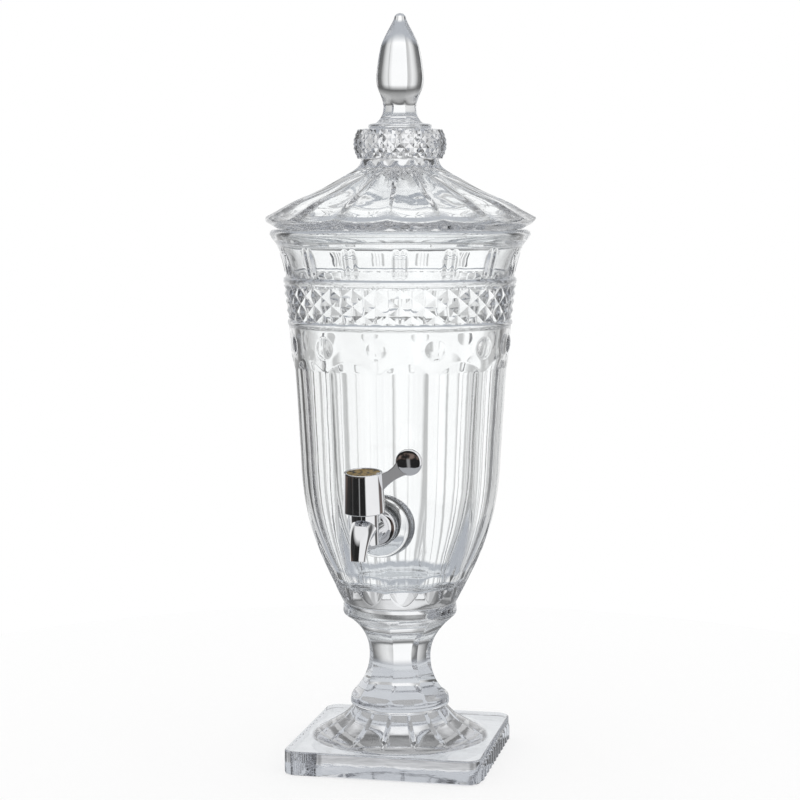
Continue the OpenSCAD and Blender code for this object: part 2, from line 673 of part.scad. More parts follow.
module valve_plug() {
    color("ivory")
    at_valve()
    difference() {
        union() {
            rotate_extrude()
                polygon([[0, plug_low_z + plug_lift], [plug_r, plug_low_z + plug_lift],
                         [plug_r, ring_low_z - ring_d / 2], [ring_seat_r, ring_low_z - ring_d / 2],
                         [ring_seat_r, ring_low_z + ring_d / 2], [plug_r, ring_low_z + ring_d / 2],
                         [plug_r, ring_high_z - ring_d / 2], [ring_seat_r, ring_high_z - ring_d / 2],
                         [ring_seat_r, ring_high_z + ring_d / 2], [plug_r, ring_high_z + ring_d / 2],
                         [plug_r, barrel_top_z - shoulder_t + plug_gap],
                         [plug_shoulder_r, barrel_top_z - shoulder_t + plug_gap],
                         [plug_shoulder_r, barrel_top_z - plug_gap], [0, barrel_top_z - plug_gap]]);
            translate([-stem_w / 2, -stem_w / 2, barrel_top_z - past])
                cube([stem_w, stem_w, stem_top_z - barrel_top_z + past]);
        }
        // Cross way, shut while the lever points to the side
        translate([0, 0, tap_z]) rotate([0, 90, 0])
            cylinder(h = 4 * plug_r, r = way_r, center = true);
        translate([0, 0, barrel_top_z]) cylinder(h = stem_top_z, r = screw_r + seat_gap);
    }
}

// One sealing ring round the plug
module o_ring(z) {
    color("dimgray")
    at_valve() translate([0, 0, z])
        rotate_extrude() translate([plug_r - ring_d / 2, 0]) circle(d = ring_d - 2 * plug_gap);
}
module upper_o_ring() {
    o_ring(ring_high_z);
}
module lower_o_ring() {
    o_ring(ring_low_z);
}

// Cap nut that keeps the plug in the barrel
module gland_nut() {
    color("gainsboro")
    at_valve()
    difference() {
        translate([0, 0, gland_top_z - gland_h]) cylinder(h = gland_h, r = gland_r);
        translate([0, 0, gland_top_z - gland_h - past])
            cylinder(h = gland_h - gland_t + past, r = barrel_r + seat_gap);
        translate([0, 0, barrel_top_z - past])
            cylinder(h = gland_t + 2 * past, r = stem_w / sqrt(2) + stem_room);
    }
}

// Side view of the lever, in [distance from the valve, height]
lever_in = 1;
lever_top = [cap_r - lever_in, cap_top_z];
lever_low = [cap_r - lever_in, cap_top_z - lever_root];
thumb = [cap_r + thumb_out, cap_top_z + thumb_up];
// Points along a bow from a to b that bends by the given rise
function bow(a, b, rise) =
    let (side = [a[1] - b[1], b[0] - a[0]] / norm(b - a))
    [for (t = [0:0.125:1]) mix(a, b, t) + side * rise * 4 * t * (1 - t)];
// Point on the thumb disc's edge
function on_thumb(angle) = thumb + thumb_r * [cos(angle), sin(angle)];
lever_top_meet = 158;
lever_low_meet = 275;
lever_bow = 2.2;
// Depth of the lever's root in the cap, and the small roundings of the cap's edges
lever_inside = 4;
low_round = 0.6;
cap_round = 0.8;
gland_clear = 0.6;

module tap_handle() {
    low_r = cap_r + cap_taper;
    room_top_z = gland_top_z + gland_clear;
    color("silver")
    at_valve()
    difference() {
        union() {
            rotate_extrude()
                polygon([[0, cap_low_z], [low_r - low_round, cap_low_z], [low_r, cap_low_z + low_round],
                         [cap_r, cap_top_z - cap_round], [cap_r - cap_round, cap_top_z],
                         [0, cap_top_z]]);
            translate([0, lever_t / 2, 0]) rotate([90, 0, 0]) {
                linear_extrude(lever_t)
                    polygon(concat(bow(lever_top, on_thumb(lever_top_meet), -lever_bow), [thumb],
                                   bow(on_thumb(lever_low_meet), lever_low, -lever_bow),
                                   [[cap_r - lever_inside, lever_low[1]],
                                    [cap_r - lever_inside, lever_top[1]]]));
                translate([thumb[0], thumb[1], 0]) cylinder(h = lever_t, r = thumb_r);
            }
        }
        translate([0, 0, cap_low_z - past])
            cylinder(h = room_top_z - cap_low_z + past, r = gland_r + cap_room);
        translate([-stem_w / 2 - seat_gap, -stem_w / 2 - seat_gap, cap_low_z])
            cube([stem_w + 2 * seat_gap, stem_w + 2 * seat_gap, stem_top_z + seat_gap - cap_low_z]);
        translate([0, 0, cap_low_z]) cylinder(h = cap_h + past, r = screw_r + screw_room);
        translate([0, 0, disc_low_z]) cylinder(h = cap_h, r = dish_r);
        translate([0, 0, screw_head_z]) cylinder(h = cap_h, r = screw_head_r + screw_room);
    }
}

module cap_disc() {
    color("tan")
    at_valve() translate([0, 0, disc_low_z]) cylinder(h = disc_t, r = dish_r - seat_gap);
}

module handle_screw() {
    slot_z = screw_head_z + screw_head_h - slot_depth;
    color("dimgray")
    at_valve()
    difference() {
        union() {
            translate([0, 0, screw_head_z]) cylinder(h = screw_head_h, r = screw_head_r);
            translate([0, 0, screw_head_z - screw_l]) cylinder(h = screw_l, r = screw_r);
        }
        for (turn = [0, 90])
            rotate(turn) translate([-slot_l / 2, -slot_w / 2, slot_z]) cube([slot_l, slot_w, screw_head_h]);
    }
}

module outer_gasket() {
    color("whitesmoke", 0.7)
    along_tap(pad_y) difference() {
        cylinder(h = gasket_t, r = gasket_r);
        translate([0, 0, -past]) cylinder(h = gasket_t + 2 * past, r = shank_r + seat_gap);
    }
}

// Soft gasket pressed to the sloping wall inside
module inner_gasket() {
    color("whitesmoke", 0.7)
    difference() {
        intersection() {
            along_tap(-nut_y) cylinder(h = pad_y, r = gasket_r);
            hollow(seat_gap);
        }
        along_tap(-nut_y - past) cylinder(h = pad_y, r = shank_r + seat_gap);
    }
}

module lock_nut() {
    collar_t = 2;
    color("silver")
    along_tap(-nut_y - nut_t) difference() {
        union() {
            rotate(30) cylinder(h = nut_t, d = nut_af / cos(30), $fn = 6);
            translate([0, 0, nut_t - collar_t]) cylinder(h = collar_t, r = gasket_r);
        }
        translate([0, 0, -past]) cylinder(h = nut_t + 2 * past, r = shank_r + seat_gap);
    }
}

vessel();
pedestal();
lid();
tap_body();
tap_handle();
cap_disc();
handle_screw();
valve_plug();
upper_o_ring();
lower_o_ring();
gland_nut();
outer_gasket();
inner_gasket();
lock_nut();
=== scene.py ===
import math

import bpy
import bmesh
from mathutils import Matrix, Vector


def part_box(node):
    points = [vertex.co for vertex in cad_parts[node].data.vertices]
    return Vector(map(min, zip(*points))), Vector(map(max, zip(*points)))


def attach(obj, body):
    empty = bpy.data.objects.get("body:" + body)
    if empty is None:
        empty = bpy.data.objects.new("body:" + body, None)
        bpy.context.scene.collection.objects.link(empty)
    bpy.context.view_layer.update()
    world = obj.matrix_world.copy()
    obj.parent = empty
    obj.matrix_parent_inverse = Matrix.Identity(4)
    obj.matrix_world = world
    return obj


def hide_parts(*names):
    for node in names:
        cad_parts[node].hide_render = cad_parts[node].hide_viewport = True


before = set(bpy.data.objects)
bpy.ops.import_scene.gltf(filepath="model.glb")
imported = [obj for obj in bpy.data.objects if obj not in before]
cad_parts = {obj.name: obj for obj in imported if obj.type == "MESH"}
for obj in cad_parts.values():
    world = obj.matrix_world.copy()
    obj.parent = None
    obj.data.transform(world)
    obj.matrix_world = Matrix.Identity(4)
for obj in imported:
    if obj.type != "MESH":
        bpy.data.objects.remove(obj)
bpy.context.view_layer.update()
mm = 0.001
turn = 2 * math.pi
# Edges that bend more than this many degrees stay sharp
creases = {"glass": 32, "tap": 35}
# Angles of a rounded edge
quarter = [math.pi / 2 * i / 8 for i in range(8)]
print("frame loaded")


# Small helpers

def linear(hexColour):
    parts = [int(hexColour[i:i + 2], 16) / 255 for i in (1, 3, 5)]
    return [c / 12.92 if c <= 0.04045 else ((c + 0.055) / 1.055) ** 2.4 for c in parts] + [1.0]


# The kinds of node used most
mathNode = "ShaderNodeMath"
vectorNode = "ShaderNodeVectorMath"
rangeNode = "ShaderNodeMapRange"
mixNode = "ShaderNodeMix"


# Gives the function that adds a node, with its settings and links, to a tree. Inputs are a tuple in
# the node's order, or go by name or number: the two colours of a Mix node are 6 and 7, and its
# colour comes out at 2.
def adder(tree):
    def add(kind, inputs=(), **settings):
        node = tree.nodes.new(kind)
        for name, value in settings.items():
            setattr(node, name, value)
        for key, value in inputs.items() if isinstance(inputs, dict) else enumerate(inputs):
            if isinstance(value, bpy.types.Node):
                value = value.outputs[0]
            if isinstance(value, bpy.types.NodeSocket):
                tree.links.new(value, node.inputs[key])
            else:
                node.inputs[key].default_value = value
        return node

    return add


def mix(a, b, t):
    return a + (b - a) * t


def clamp(x):
    return max(0.0, min(1.0, x))


# Numbers from low up to high, without high itself
def steps(low, high, count):
    return [mix(low, high, i / count) for i in range(count)]


# Numbers from 0 to 1, both included
def shares(count):
    return [i / count for i in range(count + 1)]


def roundAngles(count):
    return [turn * i / count for i in range(count)]


# Gives each (radius, height) of a path the same number of points round
def evenly(count, path):
    return [(count, r, z) for r, z in path]


# A cubic through points of (place, value)
def curve(x, points):
    i = 0
    while i < len(points) - 2 and x > points[i + 1][0]:
        i += 1

    def lean(k):
        a = points[max(k - 1, 0)]
        b = points[min(k + 1, len(points) - 1)]
        return (b[1] - a[1]) / (b[0] - a[0])

    h = points[i + 1][0] - points[i][0]
    t = (x - points[i][0]) / h
    return (points[i][1] * (1 + 2 * t) * (1 - t) ** 2 + lean(i) * h * t * (1 - t) ** 2
            + points[i + 1][1] * t * t * (3 - 2 * t) + lean(i + 1) * h * t * t * (t - 1))


def newPiece(name, bm, material):
    mesh = bpy.data.meshes.new(name)
    bm.to_mesh(mesh)
    bm.free()
    mesh.materials.append(material)
    piece = bpy.data.objects.new(name, mesh)
    bpy.context.scene.collection.objects.link(piece)
    return piece


# Turns a path of (points round, radius, height) into a closed skin. The path runs from a pole under
# the piece, outwards and up, to a pole over it. diamonds gives the first and the last ring of a
# diamond band and the points per half diamond.
def turned(name, path, material, diamonds=None):
    bm = bmesh.new()
    rings = []
    for count, radius, height in path:
        if radius == 0:
            rings.append([bm.verts.new((0, 0, height * mm))])
            continue
        rings.append([bm.verts.new((radius * math.sin(a) * mm, -radius * math.cos(a) * mm, height * mm))
                      for a in roundAngles(count)])
    for j in range(len(rings) - 1):
        low, high = rings[j], rings[j + 1]
        n, m = len(low), len(high)
        if n == 1:
            for k in range(m):
                bm.faces.new((low[0], high[(k + 1) % m], high[k]))
        elif m == 1:
            for i in range(n):
                bm.faces.new((low[i], low[(i + 1) % n], high[0]))
        elif n == m:
            for i in range(n):
                a, b, c, d = low[i], low[(i + 1) % n], high[(i + 1) % n], high[i]
                if diamonds is None or not diamonds[0] <= j < diamonds[1]:
                    bm.faces.new((a, b, c, d))
                elif (i - (j - diamonds[0])) % (2 * diamonds[2]) == 0:
                    bm.faces.new((a, b, c))
                    bm.faces.new((a, c, d))
                else:
                    bm.faces.new((a, b, d))
                    bm.faces.new((b, c, d))
        else:
            for i in range(n):
                bm.faces.new((low[i], low[(i + 1) % n], high[math.floor((i + 0.5) * m / n + 0.5) % m]))
            for k in range(m):
                bm.faces.new((high[(k + 1) % m], high[k], low[math.ceil((k + 0.5) * n / m - 0.5) % n]))
    return newPiece(name, bm, material)


# Skins a stack of loops of equal count, and closes both ends
def skin(bm, loops):
    n = len(loops[0])
    for low, high in zip(loops, loops[1:]):
        for i in range(n):
            bm.faces.new((low[i], low[(i + 1) % n], high[(i + 1) % n], high[i]))
    bm.faces.new(list(reversed(loops[0])))
    bm.faces.new(loops[-1])
    bmesh.ops.recalc_face_normals(bm, faces=bm.faces)


# A turned shape laid on its side: the path's heights run towards the front from y, round the height z
def disc(name, path, y, z, material, count=96):
    piece = turned(name, evenly(count, path), material)
    for vertex in piece.data.vertices:
        vertex.co = (vertex.co.x, y * mm - vertex.co.z, z * mm + vertex.co.y)
    return piece


# Replaces an object's mesh by what its modifiers make, and takes the modifiers off
def settle(piece):
    graph = bpy.context.evaluated_depsgraph_get()
    made = bpy.data.meshes.new_from_object(piece.evaluated_get(graph))
    piece.modifiers.clear()
    old = piece.data
    piece.data = made
    made.name = piece.name
    bpy.data.meshes.remove(old)
    return piece


# Joins or cuts closed solids, and removes the tools
def carve(piece, operation, tools):
    for tool in tools:
        step = piece.modifiers.new(operation.lower(), "BOOLEAN")
        step.operation = operation
        step.solver = "MANIFOLD"
        step.object = tool
    settle(piece)
    for tool in tools:
        old = tool.data
        bpy.data.objects.remove(tool)
        bpy.data.meshes.remove(old)
    return piece


# Smooth shading that keeps the sharp edges, and keeps flat faces flat beside their roundings
def smooth(piece, degrees):
    piece.data.shade_smooth()
    piece.data.set_sharp_from_angle(angle=math.radians(degrees))
    step = piece.modifiers.new("faceWeights", "WEIGHTED_NORMAL")
    step.keep_sharp = True
    return settle(piece)


def place(piece, body, slot, *nodes):
    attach(piece, body)
    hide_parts(*nodes)
    print("placed", piece.name, len(piece.data.polygons), "faces")


# Geometry trees for what repeats

def startTree(name, inputs):
    tree = bpy.data.node_groups.new(name, "GeometryNodeTree")
    tree.is_modifier = True
    for end in ("INPUT", "OUTPUT"):
        tree.interface.new_socket("Geometry", in_out=end, socket_type="NodeSocketGeometry")
    for label, kind in inputs + [("Material", "Material")]:
        tree.interface.new_socket(label, in_out="INPUT", socket_type="NodeSocket" + kind)
    add = adder(tree)
    return add, add("NodeGroupInput").outputs


# Gives back the tree, which is what the last node belongs to
def endTree(add, start, shape):
    real = add("GeometryNodeRealizeInstances", (shape,))
    done = add("GeometryNodeSetMaterial", {"Geometry": real, "Material": start["Material"]})
    return add("NodeGroupOutput", (done,)).id_data


# Relief pushes the skin of a turned piece in or out, by the angle round the axis from a line (Turn,
# from the front towards +X) and by the height
def startRelief(name, sizes):
    add, start = startTree(name, [(label, "Float") for label in ["Turn"] + sizes])
    at = add("ShaderNodeSeparateXYZ", (add("GeometryNodeInputPosition"),)).outputs
    front = add(mathNode, (at[1], -1.0), operation="MULTIPLY")
    angle = add(mathNode, (at[0], front), operation="ARCTAN2")
    fromLine = add(mathNode, (angle, start["Turn"]), operation="SUBTRACT")
    return add, start, at, fromLine


# The skin moves along its normal where no direction is given
def endRelief(add, start, amount, direction=None):
    if direction is None:
        direction = add("GeometryNodeInputNormal")
    push = add(vectorNode, {0: direction, "Scale": amount}, operation="SCALE")
    moved = add("GeometryNodeSetPosition", {"Geometry": start["Geometry"], "Offset": push})
    return endTree(add, start, moved)


# Flutes, pillars and grooves: a cross-section that repeats round the axis. section runs from a line
# to half way to the next one, and True marks a corner in it. The ends run out over a length that
# follows the depth. The skin moves along its normal, or square to a cone of that slope.
def fluteTree(name, section, slope=None):
    add, start, at, angle = startRelief(name, ["Count", "Depth", "Low", "Low Run", "High", "High Run"])
    cycles = add(mathNode, (angle, start["Count"]), operation="MULTIPLY")
    share = add(mathNode, (cycles, 1 / math.pi), operation="MULTIPLY")
    across = add(mathNode, (share, 1.0), operation="PINGPONG")
    shape = add("ShaderNodeFloatCurve", {"Value": across})
    line = shape.mapping.curves[0]
    while len(line.points) < len(section):
        line.points.new(0.5, 0.5)
    for point, (x, y, *corner) in zip(line.points, section):
        point.location = (x, y)
        point.handle_type = "VECTOR" if corner else "AUTO"
    shape.mapping.update()
    amount = add(mathNode, (shape, start["Depth"]), operation="MULTIPLY")
    for end, outwards in (("Low", "SUBTRACT"), ("High", "ADD")):
        run = add(mathNode, (shape, start[end + " Run"], 1e-6), operation="MULTIPLY_ADD")
        stop = add(mathNode, (start[end], run), operation=outwards)
        fade = add(rangeNode, {"Value": at[2], "From Min": stop, "From Max": start[end]})
        amount = add(mathNode, (amount, fade), operation="MULTIPLY")
    if slope is None:
        return endRelief(add, start, amount)
    flat = add("ShaderNodeCombineXYZ", (at[0], at[1]))
    out = add(vectorNode, (flat,), operation="NORMALIZE")
    aside = add(vectorNode, {0: out, "Scale": math.sin(slope)}, operation="SCALE")
    square = add(vectorNode, (aside, (0, 0, math.cos(slope))), operation="ADD")
    return endRelief(add, start, amount, square)


# Diamonds: grooves in both slants leave pyramids between them
def diamondTree(name):
    add, start, at, angle = startRelief(name, ["Count", "Rows", "Rise", "Low", "High"])
    cycles = add(mathNode, (angle, start["Count"]), operation="MULTIPLY")
    u = add(mathNode, (cycles, 1 / math.pi), operation="MULTIPLY")
    halves = add(mathNode, (start["Rows"], 2.0), operation="MULTIPLY")
    v = add(rangeNode, {"Value": at[2], "From Min": start["Low"], "From Max": start["High"],
                        "To Max": halves})
    slants = []
    for slant in ("ADD", "SUBTRACT"):
        line = add(mathNode, (u, v), operation=slant)
        slants.append(add(mathNode, (line, 1.0), operation="PINGPONG"))
    pyramid = add(mathNode, (slants[0], slants[1]), operation="MINIMUM")
    amount = add(mathNode, (pyramid, start["Rise"]), operation="MULTIPLY")
    for end, side in (("Low", "GREATER_THAN"), ("High", "LESS_THAN")):
        inBand = add(mathNode, (at[2], start[end]), operation=side)
        amount = add(mathNode, (amount, inBand), operation="MULTIPLY")
    return endRelief(add, start, amount)


# Round bosses: a ring of low domes
def bossTree(name):
    add, start, at, angle = startRelief(name, ["Count", "Radius", "Rise", "Height", "Wall Radius"])
    pitch = add(mathNode, (math.pi, start["Count"]), operation="DIVIDE")
    across = add(mathNode, (angle, pitch), operation="PINGPONG")
    aside = add(mathNode, (across, start["Wall Radius"]), operation="MULTIPLY")
    over = add(mathNode, (at[2], start["Height"]), operation="SUBTRACT")
    away = add("ShaderNodeCombineXYZ", (aside, over))
    far = add(vectorNode, (away,), operation="LENGTH")
    share = add(mathNode, (far.outputs["Value"], start["Radius"]), operation="DIVIDE")
    square = add(mathNode, (share, share), operation="MULTIPLY")
    dome = add(mathNode, (1.0, square), operation="SUBTRACT", use_clamp=True)
    amount = add(mathNode, (dome, start["Rise"]), operation="MULTIPLY")
    return endRelief(add, start, amount)


# Flat sides: turns the round section into a polygon with the same corners, whose sides may stay bowed
def facetTree(name):
    add, start, at, angle = startRelief(name, ["Sides", "Low", "High", "Fade", "Flatness"])
    half = add(mathNode, (math.pi, start["Sides"]), operation="DIVIDE")
    across = add(mathNode, (angle, half), operation="PINGPONG")
    fromFlat = add(mathNode, (half, across), operation="SUBTRACT")
    wide = add(mathNode, (half,), operation="COSINE")
    here = add(mathNode, (fromFlat,), operation="COSINE")
    share = add(mathNode, (wide, here), operation="DIVIDE")
    fall = add(mathNode, (share, 1.0), operation="SUBTRACT")
    amount = add(mathNode, (fall, start["Flatness"]), operation="MULTIPLY")
    for end, inwards in (("Low", "ADD"), ("High", "SUBTRACT")):
        full = add(mathNode, (start[end], start["Fade"]), operation=inwards)
        fade = add(rangeNode, {"Value": at[2], "From Min": start[end], "From Max": full})
        amount = add(mathNode, (amount, fade), operation="MULTIPLY")
    out = add("ShaderNodeCombineXYZ", (at[0], at[1]))
    return endRelief(add, start, amount, out)


# A straight row of one shape, such as the ribs on the foot
def rowTree(name):
    add, start = startTree(name, [("Count", "Int"), ("Start", "Vector"), ("Step", "Vector")])
    line = add("GeometryNodeMeshLine", {"Count": start["Count"], "Start Location": start["Start"],
                                        "Offset": start["Step"]}, mode="OFFSET")
    copies = add("GeometryNodeInstanceOnPoints", {"Points": line, "Instance": start["Geometry"]})
    return endTree(add, start, copies)


# Puts a tree on a piece, with its lengths in mm. Counts, angles and shares go in as they are.
def useTree(piece, tree, sizes):
    plain = ("Count", "Turn", "Rows", "Sides", "Flatness")
    step = piece.modifiers.new(tree.name, "NODES")
    step.node_group = tree
    for item in tree.interface.items_tree:
        if item.in_out == "INPUT" and item.name == "Material":
            step[item.identifier] = piece.data.materials[0]
        elif item.in_out == "INPUT" and item.name in sizes:
            size = sizes[item.name]
            if isinstance(size, tuple):
                size = tuple(part * mm for part in size)
            elif item.name not in plain:
                size = size * mm
            step[item.identifier] = size


# Materials

def startMaterial(name):
    material = bpy.data.materials.new(name)
    material.use_nodes = True
    material.node_tree.nodes.clear()
    return material, adder(material.node_tree)


# Pressed soda-lime glass, fire-polished: clear and colourless, with a faint grey where it is thick,
# and a slow unevenness of the skin that bends what is seen through it. The foot's underside, at
# height 0, is finely ground.
def pressedGlass():
    material, add = startMaterial("pressedSodaLimeGlass")
    at = add("ShaderNodeTexCoord").outputs["Object"]
    swell = add("ShaderNodeTexNoise", {"Vector": at, "Scale": 1 / (18 * mm), "Detail": 1.0})
    ripple = add("ShaderNodeTexNoise", {"Vector": at, "Scale": 1 / (4 * mm), "Detail": 0.0})
    waves = add(mathNode, (ripple, 0.12, swell), operation="MULTIPLY_ADD")
    uneven = add("ShaderNodeBump", {"Strength": 1.0, "Distance": 0.12 * mm, "Height": waves})
    polish = add(rangeNode, {"Value": swell, "To Min": 0.0, "To Max": 0.02})
    up = add("ShaderNodeSeparateXYZ", (at,)).outputs[2]
    ground = add(mathNode, (up, 0.2 * mm), operation="LESS_THAN")
    matt = add(mathNode, (ground, 0.03), operation="MULTIPLY")
    rough = add(mathNode, (matt, polish), operation="MAXIMUM")
    shader = add("ShaderNodeBsdfPrincipled", {
        "Base Color": linear("#feffff"), "Roughness": rough, "IOR": 1.52,
        "Transmission Weight": 1.0, "Normal": uneven})
    depth = add("ShaderNodeVolumeAbsorption", {"Color": linear("#cacbd1"), "Density": 5.0})
    add("ShaderNodeOutputMaterial", {"Surface": shader, "Volume": depth})
    return material


# Raw brass sheet, aged in the air: yellow, with brown specks and a dull bloom
def brassSheet():
    material, add = startMaterial("agedBrassSheet")
    at = add("ShaderNodeTexCoord").outputs["Object"]
    bloom = add("ShaderNodeTexNoise", {"Vector": at, "Scale": 1 / (3.5 * mm), "Detail": 3.0})
    specks = add("ShaderNodeTexNoise", {"Vector": at, "Scale": 1 / (2.6 * mm), "Detail": 2.0})
    spots = add(rangeNode, {"Value": specks, "From Min": 0.52, "From Max": 0.6})
    tone = add(mixNode, {"Factor": bloom, 6: linear("#d6b66c"), 7: linear("#a07e40")}, data_type="RGBA")
    dark = add(mixNode, {"Factor": spots, 6: tone.outputs[2], 7: linear("#33270f")}, data_type="RGBA")
    dull = add(rangeNode, {"Value": bloom, "To Min": 0.25, "To Max": 0.5})
    dents = add("ShaderNodeBump", {"Strength": 0.6, "Distance": 0.05 * mm, "Height": bloom})
    shader = add("ShaderNodeBsdfPrincipled", {
        "Base Color": dark.outputs[2], "Metallic": 1.0, "Roughness": dull, "Normal": dents})
    add("ShaderNodeOutputMaterial", {"Surface": shader})
    return material


# A finish whose colour, roughness and height follow one noise. grain is the noise's size in mm. dull
# gives two levels of the noise and the roughness at each. bump gives a strength and a depth in mm,
# and values the shader's other inputs.
def clouded(name, light, dark, grain, detail, dull, bump, values):
    material, add = startMaterial(name)
    at = add("ShaderNodeTexCoord").outputs["Object"]
    cloud = add("ShaderNodeTexNoise", {"Vector": at, "Scale": 1 / (grain * mm), "Detail": detail})
    tone = add(mixNode, {"Factor": cloud, 6: linear(light), 7: linear(dark)}, data_type="RGBA")
    rough = add(rangeNode, (cloud,) + dull)
    values = {"Base Color": tone.outputs[2], "Roughness": rough} | values
    if bump:
        depth = {"Strength": bump[0], "Distance": bump[1] * mm, "Height": cloud}
        values["Normal"] = add("ShaderNodeBump", depth)
    add("ShaderNodeOutputMaterial", {"Surface": add("ShaderNodeBsdfPrincipled", values)})
    return material


glass = pressedGlass()
brass = brassSheet()
metal = {"Metallic": 1.0}
# Fine pits in the plain parts of the tap
pits = (0.4, 0.02)
# Bright chrome plate on die-cast zinc: mirror polish with a faint haze in places
chrome = clouded("polishedChromePlate", "#e4e5e8", "#f0f0f1", 9.0, 4.0, (0.35, 0.75, 0.03, 0.09),
                 (0.5, 0.01), metal)
# Clear silicone rubber, moulded: see-through but milky, with a matt skin
silicone = clouded("clearSiliconeRubber", "#eef0f2", "#dfe2e6", 5.0, 2.0, (0.0, 1.0, 0.12, 0.3), None,
                   {"IOR": 1.41, "Transmission Weight": 0.85})
# Zinc-plated steel of the screw: cloudy grey with a dull shine
zincSteel = clouded("zincPlatedSteel", "#c9cacc", "#8e9094", 2.0, 3.0, (0.0, 1.0, 0.27, 0.43), pits, metal)
# Satin chrome plate of the lock nut: pale, with a soft sheen
satinNut = clouded("satinChromePlate", "#e6e4e3", "#cfcdcc", 3.0, 3.0, (0.0, 1.0, 0.34, 0.5), pits, metal)
# Moulded acetal of the plug: ivory, with a slight gloss
acetal = clouded("ivoryAcetal", "#efe9da", "#e2dbc8", 6.0, 3.0, (0.0, 1.0, 0.32, 0.48), pits, {})
# Moulded nitrile rubber of the O-rings: near black and matt
nitrile = clouded("blackNitrileRubber", "#2b2b2d", "#1b1b1d", 1.2, 3.0, (0.0, 1.0, 0.52, 0.68), pits, {})
print("materials made")

diamondRelief = diamondTree("diamondRelief")
bossRelief = bossTree("bossRelief")
facetRelief = facetTree("facetRelief")
ribRow = rowTree("ribRow")
# Lets the first and the last ring of a diamond band count as inside it
hair = 0.001


def halfDiamond(piece):
    return piece["around"] // (2 * piece["diamond"]["Count"])


def diamondShares(piece):
    return shares(2 * piece["diamond"]["Rows"] * halfDiamond(piece))


def cutDiamonds(solid, piece):
    useTree(solid, diamondRelief, piece["diamond"] | {"Low": piece["diamondLow"] - hair,
                                                      "High": piece["diamondTop"] + hair})


# Bowl of the urn. Lengths are in mm, and lists of pairs are (radius, height) unless said otherwise.

bowl = {
    "around": 480, "insideAround": 240,
    "baseZ": 113.5, "height": 199.5, "baseR": 40.5, "shoulderR": 78.8,
    # Share of the height, and share of the way from the base's radius to the shoulder's
    "shape": [(0, 0), (0.1, 0.27), (0.2, 0.505), (0.31, 0.69), (0.43, 0.8), (0.58, 0.85), (0.8, 0.92),
              (1, 1)],
    "under": [(0, 113.35), (39.4, 113.35), (40.2, 113.6)],
    "flute": {"Count": 12, "Depth": -2.4, "Low": 127.0, "Low Run": 10.0, "High": 283.0, "High Run": 8.0},
    "boss": {"Count": 12, "Radius": 7.5, "Rise": 1.8, "Height": 299.5},
    "lowBead": [(79.0, 312.6), (79.5, 313.3), (79.85, 314.2), (79.85, 315.1), (79.4, 316.0), (78.5, 316.6)],
    "diamond": {"Count": 30, "Rows": 2, "Rise": 1.8},
    "diamondLow": 317.0, "diamondTop": 341.0, "diamondLowR": 77.6, "diamondTopR": 80.8,
    "topBead": [(81.6, 341.5), (82.3, 342.3), (82.7, 343.3), (82.8, 344.3), (82.6, 345.3), (82.1, 346.1),
                (81.3, 346.7)],
    "panelLow": 347.0, "panelTop": 369.0, "panelLowR": 81.0, "panelTopR": 87.1,
    "panelBend": 1.6, "panelRows": 24,
    "pillar": {"Count": 15, "Turn": turn / 30, "Depth": 1.2, "Low": 350.0, "Low Run": 2.5, "High": 361.5,
               "High Run": 7.0},
    "rim": [(87.6, 369.6), (88.6, 370.8), (89.7, 372.3), (91.0, 374.0), (91.9, 375.4), (92.3, 376.6),
            (92.2, 377.7), (91.6, 378.7), (90.6, 379.5), (89.3, 380.0), (0, 380.0)],
    "floorZ": 127.5, "wall": 6.6, "heel": 5.0, "heelShare": 0.35, "cornerR": 11.0, "beadZ": 313.0,
    # Height and radius of the hollow over the lower bead
    "insideTop": [(313.0, 72.2), (341.0, 74.6), (358.0, 78.6), (369.0, 82.5), (380.0, 85.0)],
    "lip": [(84.6, 378.2), (85.0, 379.0), (85.8, 379.8), (86.6, 380.3), (86.6, 384), (0, 384)],
    # Flat pad for the tap and the hole through it: radius, and distance in front of the pad's face
    "padY": -72.184, "tapZ": 179.0,
    "pad": [(0, -40.5), (25.0, -40.5), (23.4, -9.0), (22.7, -5.0), (22.3, -2.6), (22.0, -1.5), (21.65, -0.8),
            (21.1, -0.3), (20.3, -0.05), (19.4, 0), (0, 0)],
    "hole": [(0, -40), (8.4, -40), (8.4, 5), (0, 5)],
}
# Rib on the line, then a hollow to the middle of the flute
bowlFlute = fluteTree("bowlFlute", [(0, 0), (0.2, 0.1), (0.27, 0.25, True), (0.45, 0.575), (0.65, 0.83),
                                    (0.85, 0.965), (1, 1)])
# A pair of slim pillars beside each join of two panels
pillarPair = fluteTree("pillarPair", [(0, 0.35), (0.07, 0.55), (0.15, 1), (0.24, 0.5), (0.33, 0), (1, 0)])


def bowlRadius(z):
    share = clamp((z - bowl["baseZ"]) / bowl["height"])
    return mix(bowl["baseR"], bowl["shoulderR"], curve(share, bowl["shape"]))


def insideRadius(z):
    if z > bowl["beadZ"]:
        return curve(z, bowl["insideTop"])
    heel = clamp(1 - (z - bowl["floorZ"]) / (bowl["heelShare"] * bowl["height"])) ** 2
    return bowlRadius(z) - bowl["wall"] - bowl["heel"] * heel


